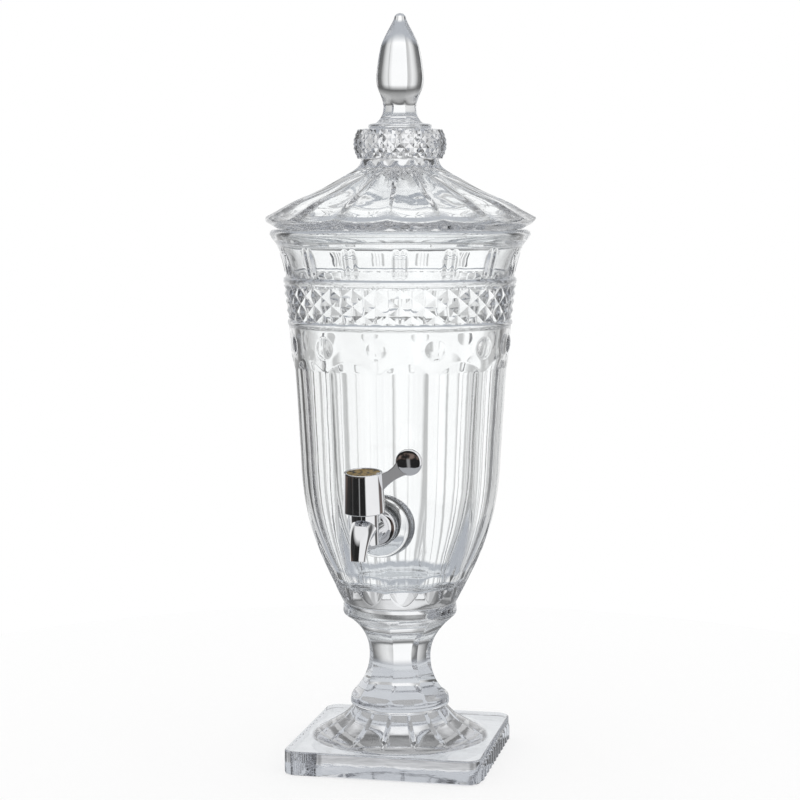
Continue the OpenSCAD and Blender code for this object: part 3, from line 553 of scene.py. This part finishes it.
# The rows are close where the flutes run out and over the bosses
def bowlPath():
    heights = (steps(114.2, 128, 18) + steps(128, 280, 30) + steps(280, 293, 14) + steps(293, 308, 20)
               + steps(308, 312.5, 4))
    path = bowl["under"] + [(bowlRadius(z), z) for z in heights] + bowl["lowBead"]
    first = len(path)
    path += [(mix(bowl["diamondLowR"], bowl["diamondTopR"], t),
              mix(bowl["diamondLow"], bowl["diamondTop"], t)) for t in diamondShares(bowl)]
    last = len(path) - 1
    path += bowl["topBead"]
    path += [(mix(bowl["panelLowR"], bowl["panelTopR"], t ** bowl["panelBend"]),
              mix(bowl["panelLow"], bowl["panelTop"], t)) for t in shares(bowl["panelRows"])]
    return evenly(bowl["around"], path + bowl["rim"]), (first, last, halfDiamond(bowl))


def hollowPath():
    r = bowl["cornerR"]
    low = bowl["floorZ"] + r
    middle = insideRadius(low) - r
    path = [(0, bowl["floorZ"]), (middle - 2, bowl["floorZ"])]
    path += [(middle + r * math.sin(a), low - r * math.cos(a)) for a in steps(0.1, math.radians(76), 10)]
    path += [(insideRadius(z), z) for z in steps(low, 200, 20) + steps(200, 341, 16) + steps(341, 377.5, 12)]
    return evenly(bowl["insideAround"], path + bowl["lip"])


def makeBowl():
    path, zone = bowlPath()
    piece = turned("urnGlass", path, glass, zone)
    useTree(piece, bowlFlute, bowl["flute"])
    useTree(piece, bossRelief, bowl["boss"] | {"Wall Radius": bowlRadius(bowl["boss"]["Height"])})
    cutDiamonds(piece, bowl)
    useTree(piece, pillarPair, bowl["pillar"])
    settle(piece)
    carve(piece, "UNION", [disc("pad", bowl["pad"], bowl["padY"], bowl["tapZ"], glass)])
    hollow = turned("hollow", hollowPath(), glass)
    hole = disc("hole", bowl["hole"], bowl["padY"], bowl["tapZ"], glass)
    carve(piece, "DIFFERENCE", [hollow, hole])
    return smooth(piece, creases["glass"])


urnGlass = makeBowl()
place(urnGlass, "urn", "clear_glass", "vessel")

# Foot and stem

foot = {
    "around": 384, "side": 143.0, "thick": 17.0, "cornerR": 10.0, "cornerSteps": 12,
    # Inset from the slab's side, and height
    "slabEdge": [(1.0, 0.0), (0.3, 0.3), (0.0, 1.0), (0.0, 15.8), (0.35, 16.65), (1.2, 17.0)],
    "ribs": 12, "ribRise": 1.6, "ribLow": 0.4, "ribTop": 15.0, "ribFill": 0.49, "ribAround": 32,
    "root": [(0, 9), (58, 9), (63, 16.0)],
    "coneR": 66.0, "coneTopR": 33.5, "coneTop": 37.0, "coneRows": 30, "coneBunch": 1.8,
    # Share of the height, and share of the way from the top's radius to the base's
    "coneShape": [(0, 1), (0.004, 0.96), (0.015, 0.91), (0.05, 0.84), (0.13, 0.73), (0.3, 0.54), (0.6, 0.24),
                  (1, 0)],
    "groove": {"Count": 16, "Depth": -2.6, "Low": 24.0, "Low Run": 6.0, "High": 36.6, "High Run": 0.8},
    "knop": [(33.9, 37.6), (34.7, 38.4), (35.3, 39.5), (35.5, 40.8), (35.4, 42.2), (35.1, 43.6), (34.9, 44.8),
             (34.7, 45.8)],
    "stemLow": 46.0, "stemTop": 103.0, "stemLowR": 34.6, "stemTopR": 38.4, "stemRows": 48,
    "waistR": 22.4, "waistShare": 0.49, "stemBend": 2.2,
    "facets": {"Sides": 8, "Low": 45.2, "High": 104.4, "Fade": 1.6, "Flatness": 0.75},
    "collar": [(39.3, 103.9), (40.2, 105.0), (40.7, 106.4), (40.7, 108.2), (40.7, 110.6), (40.5, 112.0),
               (40.0, 113.1), (39.2, 113.5), (0, 113.5)],
}
# A pointed groove on each line between two petals
petalGroove = fluteTree("petalGroove", [(0, 1), (0.06, 0.8), (0.14, 0.3), (0.23, 0, True), (1, 0)])


def stemRadius(t):
    share = foot["waistShare"]
    if t < share:
        return mix(foot["waistR"], foot["stemLowR"], (1 - t / share) ** foot["stemBend"])
    return mix(foot["waistR"], foot["stemTopR"], ((t - share) / (1 - share)) ** foot["stemBend"])


# The path starts inside the slab. The cone's rows are close at its base.
def footPath():
    bunched = [t ** foot["coneBunch"] for t in shares(foot["coneRows"])]
    path = foot["root"] + [(mix(foot["coneTopR"], foot["coneR"], curve(t, foot["coneShape"])),
                            mix(foot["thick"], foot["coneTop"], t)) for t in bunched]
    path += foot["knop"]
    path += [(stemRadius(t), mix(foot["stemLow"], foot["stemTop"], t)) for t in shares(foot["stemRows"])[1:]]
    return evenly(foot["around"], path + foot["collar"])


def slabHalf():
    return foot["side"] / 2 - foot["ribRise"]


def slabOutline(inset):
    middle = slabHalf() - foot["cornerR"]
    r = foot["cornerR"] - inset
    points = []
    for k, (sx, sy) in enumerate(((1, -1), (1, 1), (-1, 1), (-1, -1))):
        for t in shares(foot["cornerSteps"]):
            a = math.radians(-90 + 90 * (k + t))
            points.append((sx * middle + r * math.cos(a), sy * middle + r * math.sin(a)))
    return points


def makeSlab():
    bm = bmesh.new()
    skin(bm, [[bm.verts.new((x * mm, y * mm, z * mm)) for x, y in slabOutline(inset)]
              for inset, z in foot["slabEdge"]])
    return newPiece("slab", bm, glass)


# A row of round-headed ribs on one side of the slab
def makeRibs(side):
    pitch = 2 * (slabHalf() - foot["cornerR"]) / foot["ribs"]
    r = foot["ribFill"] * pitch
    low, top = foot["ribLow"], foot["ribTop"]
    path = [(0, low), (r - 0.6, low), (r, low + 0.6)]
    path += [(r * math.cos(a), top - r + r * math.sin(a)) for a in quarter]
    ribs = turned("rib", evenly(foot["ribAround"], path + [(0, top)]), glass)
    first = foot["cornerR"] + pitch / 2 - slabHalf()
    reach = slabHalf() + foot["ribRise"] - r
    useTree(ribs, ribRow, {"Count": foot["ribs"], "Start": (side * reach, first, 0.0),
                           "Step": (0.0, pitch, 0.0)})
    return settle(ribs)


def makeFoot():
    piece = turned("footGlass", footPath(), glass)
    useTree(piece, petalGroove, foot["groove"])
    useTree(piece, facetRelief, foot["facets"])
    settle(piece)
    carve(piece, "UNION", [makeSlab(), makeRibs(-1), makeRibs(1)])
    return smooth(piece, creases["glass"])


footGlass = makeFoot()
place(footGlass, "urn", "clear_glass", "pedestal")

# Lid with its ball and bud

lid = {
    "around": 384, "insideAround": 192, "turn": 7.0,
    "hollow": [(0, 419.3), (9, 419.0), (16, 418.2), (22, 416.8), (28, 414.6), (34, 411.4), (41.5, 407.4),
               (47.4, 404.0), (54, 400.5), (63, 396.5), (70, 393.4), (75, 390.5), (78, 387.4), (79.2, 384)],
    "spigot": [(79.4, 381), (79.4, 375), (79.9, 373.8), (80.8, 373.3), (82.0, 373.3), (83.0, 373.8),
               (83.4, 374.8), (83.4, 379.6), (83.9, 380.3)],
    "rim": [(85.6, 380.3), (86.6, 380.5), (88.5, 381.4), (90.5, 382.5), (92.4, 383.6), (94.0, 384.6),
            (95.5, 386.7), (96.0, 387.5), (95.95, 388.1), (95.6, 388.6)],
    "coneZ": 388.8, "coneH": 39.5, "edgeR": 95.2, "neckR": 27.5, "slope": 27.5, "coneRows": 40,
    # Share of the height, and share of the way from the neck's radius to the edge's
    "shape": [(0, 1), (0.13, 0.86), (0.265, 0.717), (0.47, 0.443), (0.645, 0.258), (0.8, 0.1), (0.895, 0.027),
              (1, 0)],
    "flute": {"Count": 16, "Depth": -2.2, "Low": 385.6, "Low Run": 0.0, "High": 425.0, "High Run": 3.0},
    "neck": [(27.5, 428.2), (27.6, 429.4)],
    "diamond": {"Count": 32, "Rows": 3, "Rise": 1.0}, "diamondLow": 430.1, "diamondTop": 449.0,
    # The ball bulges like a sine between two angles in degrees
    "ballR": 32.0, "ballFrom": 15, "ballTo": 165, "ballFull": 0.7,
    "disc": [(27.0, 449.9), (24.0, 450.5), (22.0, 450.8), (22.3, 451.4), (22.4, 452.2), (22.2, 453.0),
             (21.6, 453.6)],
    "discZ": 450.8, "discR": 22.4, "bellH": 14.5, "bellFrom": 0.24, "bellBend": 2.4, "bellRows": 14,
    "budNeckR": 12.2, "budZ": 465.3, "budH": 61.0, "budR": 17.4, "budRows": 36,
    # Share of the bud's height, and share of its radius
    "budShape": [(0, 0.69), (0.09, 0.755), (0.2, 0.915), (0.27, 0.985), (0.345, 1), (0.49, 0.94),
                 (0.6, 0.875), (0.715, 0.775), (0.83, 0.585), (0.94, 0.37), (1, 0.24)],
    "tipR": 4.4, "tipZ": 526.3,
    "facets": [{"Sides": 8, "Turn": turn / 16, "Low": 453.2, "High": 469.0, "Fade": 1.5, "Flatness": 0.95},
               {"Sides": 8, "Turn": turn / 16, "Low": 466.0, "High": 526.0, "Fade": 3.0, "Flatness": 0.5}],
}
# A ridge on each line, and a shallow hollow between
lidFlute = fluteTree("lidFlute", [(0, 0, True), (0.25, 0.44), (0.5, 0.75), (0.75, 0.94), (1, 1)],
                     math.radians(lid["slope"]))


def ballRadius(t):
    bulge = math.sin(math.radians(mix(lid["ballFrom"], lid["ballTo"], t)))
    return mix(lid["neckR"], lid["ballR"], bulge ** lid["ballFull"])


def lidPath():
    inside = lid["hollow"] + lid["spigot"]
    path = lid["rim"] + [(mix(lid["neckR"], lid["edgeR"], curve(t, lid["shape"])),
                          lid["coneZ"] + t * lid["coneH"]) for t in steps(0.01, 0.985, lid["coneRows"])]
    path += lid["neck"]
    first = len(inside) + len(path)
    path += [(ballRadius(t), mix(lid["diamondLow"], lid["diamondTop"], t)) for t in diamondShares(lid)]
    last = len(inside) + len(path) - 1
    path += lid["disc"]
    path += [(mix(lid["budNeckR"], lid["discR"], (1 - t) ** lid["bellBend"]), lid["discZ"] + t * lid["bellH"])
             for t in steps(lid["bellFrom"], 1, lid["bellRows"])]
    path += [(lid["budR"] * curve(t, lid["budShape"]), lid["budZ"] + t * lid["budH"])
             for t in steps(0, 0.97, lid["budRows"])]
    path += [(lid["tipR"] * math.cos(a), lid["tipZ"] + lid["tipR"] * math.sin(a)) for a in quarter]
    path.append((0, lid["tipZ"] + lid["tipR"]))
    return evenly(lid["insideAround"], inside) + evenly(lid["around"], path), (first, last, halfDiamond(lid))


def makeLid():
    path, zone = lidPath()
    piece = turned("lidGlass", path, glass, zone)
    useTree(piece, lidFlute, lid["flute"])
    cutDiamonds(piece, lid)
    for facets in lid["facets"]:
        useTree(piece, facetRelief, facets)
    settle(piece)
    c, s = math.cos(math.radians(lid["turn"])), math.sin(math.radians(lid["turn"]))
    for vertex in piece.data.vertices:
        x, y, z = vertex.co
        vertex.co = (c * x - s * y, s * x + c * y, z)
    return smooth(piece, creases["glass"])


lidGlass = makeLid()
place(lidGlass, "lid", "clear_glass", "lid")

# Tap

tap = {
    "valveY": -112.184, "inletZ": 179.0, "padY": -72.184, "lean": 6.0,
    "barrelR": 9.4, "barrelLow": 170.0, "barrelTop": 206.0, "barrelEdge": 4.0,
    "boreR": 6.45, "boreLow": 171.6, "shoulderR": 7.65, "shoulderT": 2.4,
    "gasketT": 2.0, "gasketR": 14.0, "flangeR": 13.0, "flangeT": 3.2, "shankR": 8.0, "wayR": 3.5,
    "neckR": 8.9, "neckEndR": 8.4, "shankEnd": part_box("tap_body")[1][1] / mm,
    # Root, bend and end of the spout and of the way through it, as (y, z) from the valve at the inlet
    "spout": [(0.0, 5.5), (-16.4, 5.5), (-20.5, -14.0)], "spoutR": (9.3, 5.0),
    "outlet": [(0.0, 0.0), (-16.4, 5.0), (-20.5, -14.0)], "outletReach": 1.12,
    "hornRows": 28, "hornAround": 48,
    "capLow": 195.5, "capTop": 222.5, "capLowR": 14.0, "capTopR": 13.0, "roomR": 11.4, "roomTop": 209.6,
    "dishR": 11.1, "dishZ": 221.2, "driveW": 6.56, "driveTop": 216.53,
    "screwHoleR": 1.7, "screwHeadR": 3.0, "screwHeadZ": 219.57,
    "leverT": 3.6, "leverRoot": 14.0, "leverBow": 2.2, "leverEdge": 0.5, "leverRows": 10,
    "topMeet": 158.0, "lowMeet": 275.0, "meetR": 7.7,
    "thumb": (31.0, 230.0),
    # One side of the thumb disc, a shallow dome: radius, and distance from the disc's middle
    "thumbFace": [(0, -2.5), (3, -2.42), (5.5, -2.2), (7.2, -1.95), (7.9, -1.75), (8.5, -1.5), (8.9, -0.9)],
}


# A tube of circles along a bend in the plane x = 0
def horn(name, bend, radii, reach=1.0):
    root, middle, end = bend
    bm = bmesh.new()
    loops = []
    for t in steps(0, reach, tap["hornRows"]) + [reach]:
        y = (1 - t) ** 2 * root[0] + 2 * t * (1 - t) * middle[0] + t * t * end[0] + tap["valveY"]
        z = (1 - t) ** 2 * root[1] + 2 * t * (1 - t) * middle[1] + t * t * end[1] + tap["inletZ"]
        dy = (1 - t) * (middle[0] - root[0]) + t * (end[0] - middle[0])
        dz = (1 - t) * (middle[1] - root[1]) + t * (end[1] - middle[1])
        far = math.hypot(dy, dz)
        r = mix(radii[0], radii[1], t)
        loops.append([bm.verts.new((r * math.sin(a) * mm, (y - r * math.cos(a) * dz / far) * mm,
                                    (z + r * math.cos(a) * dy / far) * mm))
                      for a in roundAngles(tap["hornAround"])])
    skin(bm, loops)
    return newPiece(name, bm, chrome)


# Moves a piece made round Z to the valve's axis, which leans about the inlet
def atValve(piece, twist=0.0):
    lean = math.radians(tap["lean"])
    for vertex in piece.data.vertices:
        x, y, z = vertex.co
        x, y = x * math.cos(twist) - y * math.sin(twist), x * math.sin(twist) + y * math.cos(twist)
        z -= tap["inletZ"] * mm
        vertex.co = (x, y * math.cos(lean) - z * math.sin(lean) + tap["valveY"] * mm,
                     y * math.sin(lean) + z * math.cos(lean) + tap["inletZ"] * mm)
    return piece


def upright(name, path, count=96, twist=0.0):
    return atValve(turned(name, evenly(count, path), chrome), twist)


def makeTap():
    low, top, r, edge = tap["barrelLow"], tap["barrelTop"], tap["barrelR"], tap["barrelEdge"]
    bottom = [(r - edge + edge * math.sin(a), low + edge - edge * math.cos(a)) for a in quarter]
    barrel = [(0, low)] + bottom + [(r, low + edge), (r, top - 0.4), (r - 0.4, top), (0, top)]
    piece = upright("tapChrome", barrel)
    shankR, flangeR, flangeT = tap["shankR"], tap["flangeR"], tap["flangeT"]
    flangeY = tap["padY"] - tap["gasketT"]
    back = flangeY - tap["shankEnd"]
    front = flangeY - tap["valveY"]
    shank = [(0, back), (shankR - 0.8, back), (shankR, back + 0.8), (shankR, 0)]
    flange = [(flangeR - 0.3, 0), (flangeR, 0.3), (flangeR, flangeT - 0.5), (flangeR - 0.5, flangeT),
              (10.4, flangeT + 0.1), (9.5, flangeT + 0.7)]
    neck = [(tap["neckR"], flangeT + 2.0), (tap["neckEndR"], front), (0, front)]
    spine = disc("spine", shank + flange + neck, flangeY, tap["inletZ"], chrome)
    carve(piece, "UNION", [spine, horn("spout", tap["spout"], tap["spoutR"])])
    shoulder = top - tap["shoulderT"]
    bore = upright("bore", [(0, tap["boreLow"]), (tap["boreR"], tap["boreLow"]), (tap["boreR"], shoulder),
                            (tap["shoulderR"], shoulder), (tap["shoulderR"], top + 2), (0, top + 2)])
    wayR = tap["wayR"]
    reach = tap["shankEnd"] - tap["valveY"]
    inlet = disc("inlet", [(0, -4), (wayR, -4), (wayR, reach), (0, reach)], tap["shankEnd"], tap["inletZ"],
                 chrome, 48)
    outlet = horn("outlet", tap["outlet"], (wayR, wayR), tap["outletReach"])
    carve(piece, "DIFFERENCE", [bore, inlet, outlet])
    return smooth(piece, creases["tap"])


# Points along a bow from a to b in the lever's front view
def bow(a, b, rise):
    far = math.hypot(b[0] - a[0], b[1] - a[1])
    side = ((a[1] - b[1]) / far, (b[0] - a[0]) / far)
    points = []
    for t in shares(tap["leverRows"]):
        lift = rise * 4 * t * (1 - t)
        points.append((mix(a[0], b[0], t) + side[0] * lift, mix(a[1], b[1], t) + side[1] * lift))
    return points


def makeLever():
    x, z = tap["thumb"]
    edge = tap["capTopR"] - 1

    def onThumb(degrees):
        a = math.radians(degrees)
        return (x + tap["meetR"] * math.cos(a), z + tap["meetR"] * math.sin(a))

    top = (edge, tap["capTop"] - 0.3)
    low = (edge, tap["capTop"] - tap["leverRoot"])
    outline = bow(top, onThumb(tap["topMeet"]), -tap["leverBow"]) + [(x, z)]
    outline += bow(onThumb(tap["lowMeet"]), low, -tap["leverBow"])
    outline += [(edge - 3, low[1]), (edge - 3, top[1])]
    bm = bmesh.new()
    half = tap["leverT"] / 2
    skin(bm, [[bm.verts.new((px * mm, y * mm, pz * mm)) for px, pz in outline] for y in (-half, half)])
    rims = [e for e in bm.edges if abs(e.verts[0].co.y - e.verts[1].co.y) < 1e-7]
    bmesh.ops.bevel(bm, geom=rims, offset=tap["leverEdge"] * mm, segments=3, profile=0.5, affect="EDGES")
    return atValve(newPiece("lever", bm, chrome))


def makeHandle():
    low, top = tap["capLow"], tap["capTop"]
    lowR, topR = tap["capLowR"], tap["capTopR"]
    roomR, dishR = tap["roomR"], tap["dishR"]
    room = [(0, tap["roomTop"]), (roomR, tap["roomTop"]), (roomR, low + 0.3), (roomR + 0.3, low)]
    outside = [(lowR - 0.6, low), (lowR - 0.15, low + 0.2), (lowR, low + 0.7), (topR + 0.03, top - 1.2),
               (topR - 0.1, top - 0.5), (topR - 0.4, top - 0.1), (topR - 0.8, top)]
    dish = [(dishR + 0.5, top), (dishR + 0.1, top - 0.2), (dishR, top - 0.6), (dishR, tap["dishZ"]),
            (0, tap["dishZ"])]
    piece = upright("handleChrome", room + outside + dish, 128)
    x, z = tap["thumb"]
    face = tap["thumbFace"]
    thumb = disc("thumb", face + [(r, -h) for r, h in reversed(face)], 0, z, chrome)
    for vertex in thumb.data.vertices:
        vertex.co.x += x * mm
    carve(piece, "UNION", [makeLever(), atValve(thumb)])
    cornerR = tap["driveW"] / math.sqrt(2)
    drive = upright("drive", [(0, low), (cornerR, low), (cornerR, tap["driveTop"]), (0, tap["driveTop"])],
                    4, math.pi / 4)
    holeR, headR, headZ = tap["screwHoleR"], tap["screwHeadR"], tap["screwHeadZ"]
    screw = upright("screw", [(0, low), (holeR, low), (holeR, headZ), (headR, headZ), (headR, top), (0, top)],
                    48)
    carve(piece, "DIFFERENCE", [drive, screw])
    return smooth(piece, creases["tap"])


def makeGasket():
    r, inside, t = tap["gasketR"], tap["shankR"] + 0.05, tap["gasketT"]
    bm = bmesh.new()
    section = [(inside, 0.05), (r - 0.7, 0.05), (r - 0.2, 0.3), (r, 0.8), (r, t - 0.8), (r - 0.2, t - 0.3),
               (r - 0.7, t - 0.05), (inside, t - 0.05)]
    count = 96
    loops = [[bm.verts.new((p * math.sin(a) * mm, (tap["padY"] - h) * mm,
                            (tap["inletZ"] + p * math.cos(a)) * mm)) for p, h in section]
             for a in roundAngles(count)]
    for i in range(count):
        here, there = loops[i], loops[(i + 1) % count]
        for k in range(len(section)):
            m = (k + 1) % len(section)
            bm.faces.new((here[k], here[m], there[m], there[k]))
    bmesh.ops.recalc_face_normals(bm, faces=bm.faces)
    return smooth(newPiece("gasketRing", bm, silicone), creases["tap"])


tapChrome = makeTap()
place(tapChrome, "urn", "chrome_plate", "tap_body")
handleChrome = makeHandle()
place(handleChrome, "handle", "chrome_plate", "tap_handle")
gasketRing = makeGasket()
place(gasketRing, "urn", "clear_silicone", "outer_gasket")

# CAD solids that stay as they are, with their own finishes
finishes = {"cap_disc": brass, "handle_screw": zincSteel, "valve_plug": acetal, "upper_o_ring": nitrile,
            "lower_o_ring": nitrile, "gland_nut": chrome, "inner_gasket": silicone, "lock_nut": satinNut}
for name, material in finishes.items():
    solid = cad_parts[name]
    solid.data.materials.clear()
    solid.data.materials.append(material)
print("tap made")

# Stage: floor, light and camera

white = (1, 1, 1, 1)
softWhite = (0.95, 0.95, 0.95, 1)
camera = {"azimuth": 12.0, "distance": 1474.0, "height": 409.0, "pitch": 5.88, "lens": 93.47,
          "shiftY": 0.0021}
# A round sheet just under the foot, in metres. Through the glass it fades out
# between two radii. glow is the share of its own light in what the camera sees.
sheet = {"radius": 0.55, "drop": 0.0006, "fadeFrom": 0.13, "fadeTo": 0.16, "glow": 0.7}


# Grey levels along a ramp whose ends stand for first and last
def setRamp(node, stops, first, last):
    ramp = node.color_ramp
    ramp.elements.remove(ramp.elements[1])
    ramp.elements[0].position = 0.0
    ramp.elements[0].color = (stops[0][1], stops[0][1], stops[0][1], 1)
    for at, level in stops[1:]:
        ramp.elements.new((at - first) / (last - first)).color = (level, level, level, 1)


# White paper, partly lit by itself so that only a faint shadow shows on it. Through the glass it
# glows a pale grey near the foot, a painted shadow, and farther out the room shows in its place.
# In metal it is grey.
def makeFloor():
    bm = bmesh.new()
    bmesh.ops.create_circle(bm, cap_ends=True, segments=96, radius=sheet["radius"])
    bmesh.ops.translate(bm, vec=(0, 0, -sheet["drop"]), verts=bm.verts)
    material, add = startMaterial("whitePaper")
    ray = add("ShaderNodeLightPath").outputs
    through = ray["Is Transmission Ray"]
    at = add("ShaderNodeNewGeometry").outputs["Position"]
    far = add(vectorNode, (at,), operation="LENGTH").outputs["Value"]
    beyond = add(rangeNode, {"Value": far, "From Min": sheet["fadeFrom"], "From Max": sheet["fadeTo"]})
    gone = add(mathNode, (beyond, through), operation="MULTIPLY")
    # Through the glass the paper's own light is a constant pale grey: painted shadow of the foot on the paper
    glow = add(mixNode, {"Factor": through, 6: white, 7: linear("#dee1e5")}, data_type="RGBA")
    plain = add(mathNode, (ray["Is Camera Ray"], sheet["glow"]), operation="MULTIPLY")
    share = add(mathNode, (plain, through), operation="MAXIMUM")
    tone = add(mixNode, {"Factor": ray["Is Glossy Ray"], 6: linear("#fdfdfd"), 7: linear("#b2b4b7")},
               data_type="RGBA")
    paper = add("ShaderNodeBsdfDiffuse", {"Color": tone.outputs[2]})
    lit = add("ShaderNodeEmission", {"Color": glow.outputs[2], "Strength": 1.0})
    both = add("ShaderNodeMixShader", (share, paper, lit))
    clear = add("ShaderNodeBsdfTransparent")
    surface = add("ShaderNodeMixShader", (gone, both, clear))
    add("ShaderNodeOutputMaterial", {"Surface": surface})
    newPiece("floor", bm, material)


# What metal and the outside of the glass reflect: dark room in front and at the left, soft box at the
# right, white paper behind and a white ceiling. Brown things stand along the dark room's horizon.
# Under them it is black, with one grey slit.
def metalRoom(add, direction, up, angle):
    around = add(rangeNode, {"Value": angle, "From Min": -math.pi, "From Max": math.pi})
    room = add("ShaderNodeValToRGB", (around,))
    setRamp(room, [(-180, 1.0), (-130, 1.0), (-112, 0.05), (-56, 0.02), (-53, 0.12), (-50, 0.02), (20, 0.02),
                   (26, 1.0), (105, 1.0), (112, 0.12), (130, 0.12), (145, 1.0), (180, 1.0)], -180, 180)
    slit = add("ShaderNodeValToRGB", (around,))
    setRamp(slit, [(-180, 0), (-16, 0), (-14, 0.3), (-10, 0.3), (-8, 0), (180, 0)], -180, 180)
    things = add("ShaderNodeTexNoise", {"Vector": direction, "Scale": 7.0, "Detail": 3.0})
    patch = add(rangeNode, {"Value": things, "From Min": 0.42, "From Max": 0.6})
    brown = add(mixNode, {"Factor": patch, 6: linear("#262220"), 7: linear("#7f7069")}, data_type="RGBA")
    level = add(rangeNode, {"Value": up, "From Min": 0.05, "From Max": -0.08})
    low = add(rangeNode, {"Value": up, "From Min": -0.18, "From Max": -0.24})
    hall = linear("#171612")
    for share, colour in ((level, brown.outputs[2]), (low, slit)):
        hall = add(mixNode, {"Factor": share, 6: hall, 7: colour}, data_type="RGBA").outputs[2]
    front = add(mixNode, {"Factor": 1.0, 6: room, 7: hall}, data_type="RGBA", blend_type="LIGHTEN")
    ceiling = add(rangeNode, {"Value": up, "From Min": 0.45, "From Max": 0.7})
    return add(mixNode, {"Factor": ceiling, 6: front.outputs[2], 7: softWhite}, data_type="RGBA").outputs[2]


# What shows through the glass, by the angle to either side of straight behind: white paper, then grey
# flags between lamps. Over it are a dark strip and a paler ceiling, under it pale ground to the sides
# and a grey table below.
def glassRoom(add, up, angle):
    behind = math.radians(camera["azimuth"] - 180)
    aside = add(mathNode, (angle, behind), operation="SUBTRACT")
    spread = add(mathNode, (aside, math.pi), operation="PINGPONG")
    share = add(mathNode, (spread, 1 / math.pi), operation="MULTIPLY")
    flags = add("ShaderNodeValToRGB", (share,))
    setRamp(flags, [(0, 1.1), (8, 1.1), (13, 0.6), (19, 0.6), (23, 0.9), (27, 0.75), (34, 0.15), (54, 0.08),
                    (60, 0.75), (98, 0.75), (108, 0.06), (146, 0.06), (158, 0.75), (180, 0.75)], 0, 180)
    ceiling = add("ShaderNodeValToRGB", (up,))
    setRamp(ceiling, [(0, 0.14), (0.36, 0.14), (0.52, 0.5), (0.76, 0.55), (0.86, 1.0)], 0, 1)
    over = add(rangeNode, {"Value": up, "From Min": 0.22, "From Max": 0.35})
    under = add(rangeNode, {"Value": up, "From Min": -0.17, "From Max": -0.25})
    wide = add(rangeNode, {"Value": share, "From Min": 0.31, "From Max": 0.36})
    sides = add(mathNode, (under, wide), operation="MULTIPLY")
    deep = add(rangeNode, {"Value": up, "From Min": -0.28, "From Max": -0.5})
    shade = flags
    for part, colour in ((over, ceiling), (sides, softWhite), (deep, linear("#b2b6bd"))):
        shade = add(mixNode, {"Factor": part, 6: shade, 7: colour}, data_type="RGBA").outputs[2]
    return shade


# The camera sees plain white. Reflections see one room, and rays that went through glass another. All
# else is lit by white.
def makeWorld():
    world = bpy.data.worlds.new("studio")
    bpy.context.scene.world = world
    world.use_nodes = True
    world.node_tree.nodes.clear()
    add = adder(world.node_tree)
    ray = add("ShaderNodeLightPath").outputs
    direction = add("ShaderNodeTexCoord").outputs["Generated"]
    way = add("ShaderNodeSeparateXYZ", (direction,)).outputs
    front = add(mathNode, (way[1], -1.0), operation="MULTIPLY")
    angle = add(mathNode, (way[0], front), operation="ARCTAN2")
    outside = add(mathNode, (ray["Transmission Depth"], 0.5), operation="LESS_THAN")
    mirror = add(mathNode, (ray["Is Glossy Ray"], outside), operation="MULTIPLY")
    crossed = add(mathNode, (ray["Transmission Depth"], 0.5), operation="GREATER_THAN")
    direct = add(mathNode, (ray["Diffuse Depth"], 0.5), operation="LESS_THAN")
    inside = add(mathNode, (crossed, direct), operation="MULTIPLY")
    seen = white
    for part, colour in ((mirror, metalRoom(add, direction, way[2], angle)),
                         (inside, glassRoom(add, way[2], angle)), (ray["Is Camera Ray"], white)):
        seen = add(mixNode, {"Factor": part, 6: seen, 7: colour}, data_type="RGBA").outputs[2]
    sky = add("ShaderNodeBackground", {"Color": seen, "Strength": 1.0})
    add("ShaderNodeOutputWorld", {"Surface": sky})


def makeCamera():
    data = bpy.data.cameras.new("camera")
    data.lens = camera["lens"]
    data.sensor_width = 36
    data.shift_y = camera["shiftY"]
    data.clip_end = 20
    eye = bpy.data.objects.new("camera", data)
    a = math.radians(camera["azimuth"])
    away = camera["distance"] * mm
    eye.location = (away * math.sin(a), -away * math.cos(a), camera["height"] * mm)
    eye.rotation_euler = (math.radians(90 - camera["pitch"]), 0, a)
    bpy.context.scene.collection.objects.link(eye)
    bpy.context.scene.camera = eye


makeFloor()
makeWorld()
makeCamera()
bpy.context.scene.view_settings.view_transform = "Standard"
# Light crosses many faces inside the thick glass, and a path that is cut short renders black
bpy.context.scene.cycles.max_bounces = 32
bpy.context.scene.cycles.glossy_bounces = 24
bpy.context.scene.cycles.transmission_bounces = 32
print("stage set")
